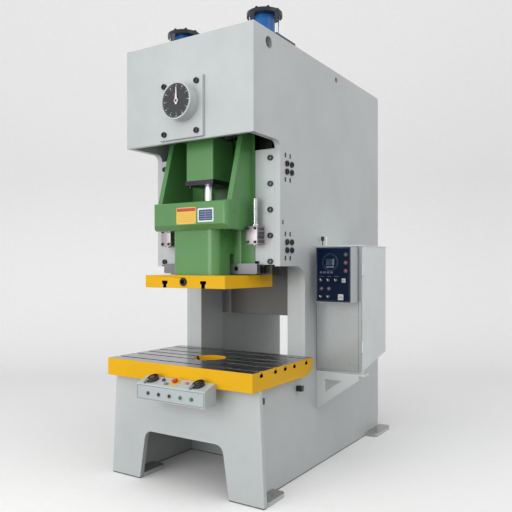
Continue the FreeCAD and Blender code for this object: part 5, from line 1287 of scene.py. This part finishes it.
    def front_lid(self, low, high, face):
        """Collars of the buttons and lamps in the front, with the border and the screws of the lid."""
        inset, lid_top, line, margin = 0.006, 0.670, 0.0025, 0.010
        left, right, foot = low[0] + inset, high[0] - inset, low[2] + inset
        level = middle_of(*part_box("front_button_1")).z
        bm = bmesh.new()
        for x in evenly(-0.110, 0.226, 5):
            lathe(bm, [(0.0138, 0.0), (0.0138, 0.0018), (0.0128, 0.0026), (0.0104, 0.0026), (0.0104, 0.0)],
                  front(x, face, level), 36, 0)
        outer = round_corners((left, foot), (right, lid_top), 0.006)
        inner = round_corners((left + line, foot + line), (right - line, lid_top - line), 0.004)
        open_frame(bm, outer, inner, 0.0006, front(0.0, face, 0.0), 1)
        for x in (left + margin, right - margin):
            for z in (foot + margin, lid_top - margin):
                socket_screw(bm, front(x, face, z), 0.0042, 0.0022, material=2, hole=1)
        collar = machined("collar_metal", (0.32, 0.33, 0.34), rough=0.3)
        piece("front_lid", bm, "frame", [collar, joint_grey(), bright_steel()])


class PRESS_OT_cabinet(bpy.types.Operator):
    """Electrical cabinet with its door and top fittings"""
    bl_idname = "press.cabinet"
    bl_label = "Cabinet"

    def execute(self, context):
        edges = setting("press_edges")
        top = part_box("cabinet_body")[1][2]
        head, stem, front_part = top - 0.0305, top - 0.0640, (-0.2, 0.0)
        # a black cap on its grey stem, and the white fitting beside them
        fittings = [(*between((0.527, 0.553), front_part, (head, 4.0)), (0.012, 0.012, 0.014)),
                    (*between((0.535, 0.545), front_part, (stem, head)), (0.05, 0.05, 0.05)),
                    (*between((0.563, 0.577), front_part, (stem, 4.0)), (0.86, 0.86, 0.84))]
        # a lighter grey than the frame, made lighter still as painted light for the strong light on its sides
        # and top
        body = enamel("cabinet_enamel", shade(paint("frame"), 1.38), rough=0.36, coat=0.1, spots=fittings)
        door = enamel("door_enamel", shade(paint("frame"), 0.72), rough=0.3, coat=0.1)
        dress("cabinet_body", body, edges.machined)
        dress("cabinet_door", door, edges.machined)
        self.seam()
        return {"FINISHED"}

    def seam(self):
        """Grey joint along the right edge of the door."""
        inset, half, end = 0.018, 0.0018, 0.004
        low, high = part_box("cabinet_door")
        x = high[0] - inset
        bm = bmesh.new()
        block(bm, (x - half, low[1] - 0.0003, low[2] + end), (x + half, low[1] + 0.001, high[2] - end))
        piece("door_seam", bm, "cabinet_door", [joint_grey()])


class PRESS_OT_panel(bpy.types.Operator):
    """Operator panel: dark face, lamps, knobs, key switch and socket"""
    bl_idname = "press.panel"
    bl_label = "Operator panel"

    def execute(self, context):
        border, sunk = 0.0037, 0.006
        low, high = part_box("operator_panel")
        sheet = low[1] + sunk
        dark = (*between((low[0] + border, high[0] - border), (-1.0, sheet + border),
                         (low[2] + border, high[2] - border)), paint("panel"))
        finish = enamel("panel_enamel", paint("frame"), rough=0.30, coat=0.0, tone=0.03, wear=0.3,
                        spots=[dark], specular=0.03)
        dress("operator_panel", finish, setting("press_edges").machined)
        corner = front(low[0], sheet, high[2])
        self.graphics(corner, high[0] - low[0], high[2] - low[2])
        self.lamps(corner)
        self.knobs()
        self.switches(corner)
        return {"FINISHED"}

    def graphics(self, corner, width, height):
        """Border, round gauge with its screen, keys and rules, measured from the upper left corner."""
        bm = bmesh.new()
        outer, inner = [round_corners((inset, inset - height), (width - inset, -inset), radius)
                        for inset, radius in ((0.010, 0.006), (0.0115, 0.005))]
        open_frame(bm, outer, inner, 0.0004, corner, 0)
        gauge = corner @ move(0.107, -0.103, 0.0)
        for radius, line in ((0.058, 0.0016), (0.049, 0.0008)):
            rings = [round_ring(radius, 0.0, 56), round_ring(radius, 0.0005, 56),
                     round_ring(radius - line, 0.0005, 56), round_ring(radius - line, 0.0, 56)]
            loft(bm, rings, gauge, 0, cap_first=False, cap_last=False, smooth=False)
        slab(bm, centred(0.030, 0.022, 0.004), 0.0006, gauge, 1)
        slab(bm, rectangle((-0.028, -0.0345), (0.028, -0.0310)), 0.0006, gauge, 2)
        for x in evenly(0.044, 0.154, 3):
            slab(bm, rectangle((x - 0.016, -0.200), (x + 0.016, -0.1975)), 0.0005, corner, 0)
        for x in evenly(0.041, 0.119, 4):
            slab(bm, round_corners((x - 0.009, -0.179), (x + 0.009, -0.165), 0.003), 0.0012, corner, 3)
        piece("panel_graphics", bm, "cabinet_door",
              [moulded("panel_line", (0.05, 0.07, 0.12), rough=0.35),
               moulded("panel_screen", (0.020, 0.045, 0.075), rough=0.08),
               moulded("panel_text", (0.35, 0.40, 0.46)),
               moulded("panel_key", (0.045, 0.055, 0.085), rough=0.35)])

    def lamps(self, corner):
        """Column of three lamps, row of two dim ones, each with a collar."""
        column, row = 0.221, -0.281
        collar = machined("lamp_collar", (0.06, 0.06, 0.07), rough=0.35)
        for name, colour, slot, spots in (
                ("green_lamp", (0.015, 0.075, 0.06), "green_plastic", ((column, -0.054),)),
                ("red_lamps", (0.22, 0.02, 0.06), "red_plastic", ((column, -0.108), (column, -0.162))),
                ("dim_lamps", (0.07, 0.05, 0.07), "red_plastic", ((0.044, row), (0.099, row)))):
            bm = bmesh.new()
            for x, z in spots:
                where = corner @ move(x, z, 0.0)
                lathe(bm, [(0.0145, 0.0), (0.0145, 0.0035), (0.0132, 0.0052), (0.0112, 0.0056),
                           (0.0112, 0.0)], where, 36, 0)
                lathe(bm, [(0.0111, 0.004), (0.0111, 0.0068), (0.0085, 0.0082), (0.0040, 0.0089),
                           (0.001, 0.009)], where, 36, 1)
            lens = moulded(name + "_lens", colour, rough=0.15, tone=0.02)
            piece(name, bm, "cabinet_door", [collar, lens])

    def knobs(self):
        """Black selector knobs, each with a white mark. All but the first are turned to the left."""
        for number in range(1, 6):
            node = "panel_knob_%d" % number
            low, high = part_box(node)
            middle = middle_of(low, high)
            radius, reach = (high[0] - low[0]) / 2, high[1] - low[1]
            top = reach - 0.0004
            where = front(middle.x, high[1], middle.z)
            turned = where @ spin(32.0 if number > 1 else 0.0)
            bm = bmesh.new()
            lathe(bm, [(radius, 0.0), (radius, reach * 0.45), (radius * 0.88, reach * 0.62),
                       (radius * 0.5, reach * 0.66)], where, 40, 0)
            block(bm, (-0.0040, -radius * 0.92, reach * 0.4), (0.0040, radius * 0.92, top), turned,
                  round_by=0.0014)
            mark = rectangle((-0.0019, -0.001), (0.0019, radius * 0.86))
            slab(bm, mark, 0.0004, turned @ move(0.0, 0.0, top), 1)
            piece("selector_knob_%d" % number, bm, "knob_%d" % number, [black_plastic(), white_ink()],
                  (node,))

    def switches(self, corner):
        """Key switch in a square bezel, and a covered square socket."""
        raised = 0.0045
        key, socket = corner @ move(0.209, -0.225, raised), corner @ move(0.187, -0.336, raised)
        bm = bmesh.new()
        for where, half in ((key, 0.0135), (socket, 0.0195)):
            inner = centred(half * 0.74, half * 0.74, 0.002)
            open_frame(bm, centred(half, half, 0.003), inner, 0.0028, where, 0)
            slab(bm, inner, 0.0012, where, 0)
        lathe(bm, [(0.0085, 0.0012), (0.0085, 0.0040), (0.0070, 0.0048)], key, 32, 0)
        block(bm, (-0.0009, -0.0050, 0.004), (0.0009, 0.0050, 0.0051), key, material=1)
        slab(bm, centred(0.011, 0.011, 0.002), 0.0030, socket, 0)
        for x in (-0.005, 0.0, 0.005):
            block(bm, (x - 0.0011, -0.006, 0.0026), (x + 0.0011, 0.004, 0.0032), socket, material=1)
        silver = machined("switch_metal", (0.24, 0.235, 0.225), rough=0.4, stretch=(200.0, 200.0, 5.0))
        piece("panel_switches", bm, "cabinet_door", [silver, black_plastic()])


class PRESS_OT_stage(bpy.types.Operator):
    """Pale floor, soft lights and the camera"""
    bl_idname = "press.stage"
    bl_label = "Stage"

    def execute(self, context):
        stage = setting("press_stage")
        self.floor(context.scene, stage.turn, stage.bounce)
        self.surroundings(context.scene, stage.tone)
        self.lights(context.scene, stage.key)
        self.camera(context.scene, stage.turn)
        context.scene.view_settings.view_transform = "Standard"
        return {"FINISHED"}

    def floor(self, scene, turn, bounce):
        """Floor that curves up behind the press, square to the camera."""
        half_width, near, bend, radius, top, sunk, steps = 14.0, -9.0, 3.0, 3.0, 12.0, 0.0005, 12
        profile = [(near, 0.0), (bend, 0.0)]
        for step in range(1, steps + 1):
            angle = math.radians(90.0 * step / steps)
            profile.append((bend + radius * math.sin(angle), radius - radius * math.cos(angle)))
        profile.append((bend + radius, top))
        turned = Matrix.Rotation(turn, 4, "Z")
        bm = bmesh.new()
        left, right = [[bm.verts.new(turned @ Vector((x, y, z - sunk))) for y, z in profile]
                       for x in (-half_width, half_width)]
        for i in range(len(profile) - 1):
            bm.faces.new((left[i], right[i], right[i + 1], left[i + 1])).smooth = True
        mesh = bpy.data.meshes.new("stage_floor")
        bm.to_mesh(mesh)
        bm.free()
        mesh.materials.append(self.paper(bounce))
        item = bpy.data.objects.new("stage_floor", mesh)
        scene.collection.objects.link(item)

    def paper(self, bounce):
        """Near white, but darker for the light that it gives back to the press."""
        material = moulded("stage_paper", (0.96, 0.96, 0.96), rough=0.9, grain=3.0, depth=0.0, tone=0.01,
                           dust=0.0)
        tree = material.node_tree
        base = tree.nodes["Principled BSDF"].inputs["Base Color"]
        bounced = add(tree, "ShaderNodeLightPath").outputs["Is Diffuse Ray"]
        feed(tree, base, mix_colour(tree, bounced, base.links[0].from_socket, (bounce,) * 3))
        return material

    def surroundings(self, scene, tone):
        world = bpy.data.worlds.new("Studio")
        scene.world = world
        world.use_nodes = True
        background = world.node_tree.nodes["Background"]
        background.inputs["Color"].default_value = (1.0, 1.0, 1.0, 1.0)
        background.inputs["Strength"].default_value = tone

    def lights(self, scene, power):
        """Large soft lights, each with its share of the power."""
        for name, at, aim, size, share in (
                ("key_light", (-0.8, -6.3, 1.9), (0.0, -0.8, 1.1), 4.2, 1.0),
                ("fill_light", (5.2, -0.8, 4.4), (0.5, 0.2, 2.2), 3.0, 0.18),
                ("top_light", (0.5, -1.8, 6.2), (0.0, -0.6, 1.5), 3.5, 0.12)):
            lamp = bpy.data.lights.new(name, "AREA")
            lamp.energy = power * share
            lamp.size = size
            item = bpy.data.objects.new(name, lamp)
            item.location = at
            item.rotation_euler = (Vector(aim) - Vector(at)).to_track_quat("-Z", "Y").to_euler()
            scene.collection.objects.link(item)

    def camera(self, scene, turn):
        """Level camera at the front right."""
        lens = bpy.data.cameras.new("camera")
        lens.sensor_width = 36.0
        lens.lens = 42.27
        lens.shift_x = 0.00625
        lens.shift_y = 0.0201
        lens.dof.use_dof = False
        item = bpy.data.objects.new("camera", lens)
        item.location = (2.4153, -3.9354, 1.400)
        item.rotation_euler = (math.radians(90.0), 0.0, turn)
        scene.collection.objects.link(item)
        scene.camera = item


class PRESS_PT_looks(bpy.types.Panel):
    """Settings of the looks, and buttons that dress the press, in the order they run"""
    bl_label = "Stamping press"
    bl_idname = "PRESS_PT_looks"
    bl_space_type = "VIEW_3D"
    bl_region_type = "UI"
    bl_category = "Press"

    def draw(self, context):
        for group in GROUPS:
            settings = getattr(context.scene, group)
            column = self.layout.column(align=True)
            for name in settings.bl_rna.properties.keys():
                if name not in ("rna_type", "name"):
                    column.prop(settings, name)
        for operator in OPERATORS:
            self.layout.operator(operator.bl_idname)


OPERATORS = (
    PRESS_OT_frame, PRESS_OT_slide, PRESS_OT_knockout, PRESS_OT_bolster, PRESS_OT_drive, PRESS_OT_balance,
    PRESS_OT_fasteners, PRESS_OT_dial, PRESS_OT_controls, PRESS_OT_cabinet, PRESS_OT_panel, PRESS_OT_stage,
)


def register():
    for group in GROUPS.values():
        bpy.utils.register_class(group)
    for name, group in GROUPS.items():
        setattr(bpy.types.Scene, name, bpy.props.PointerProperty(type=group))
    for item in (*OPERATORS, PRESS_PT_looks):
        bpy.utils.register_class(item)


def unregister():
    for item in reversed((*OPERATORS, PRESS_PT_looks)):
        bpy.utils.unregister_class(item)
    for name in GROUPS:
        delattr(bpy.types.Scene, name)
    for group in reversed(GROUPS.values()):
        bpy.utils.unregister_class(group)


def main():
    register()
    bpy.ops.press.frame()
    bpy.ops.press.slide()
    bpy.ops.press.knockout()
    bpy.ops.press.bolster()
    bpy.ops.press.drive()
    bpy.ops.press.balance()
    bpy.ops.press.fasteners()
    bpy.ops.press.dial()
    bpy.ops.press.controls()
    bpy.ops.press.cabinet()
    bpy.ops.press.panel()
    bpy.ops.press.stage()


if __name__ == "__main__":
    main()
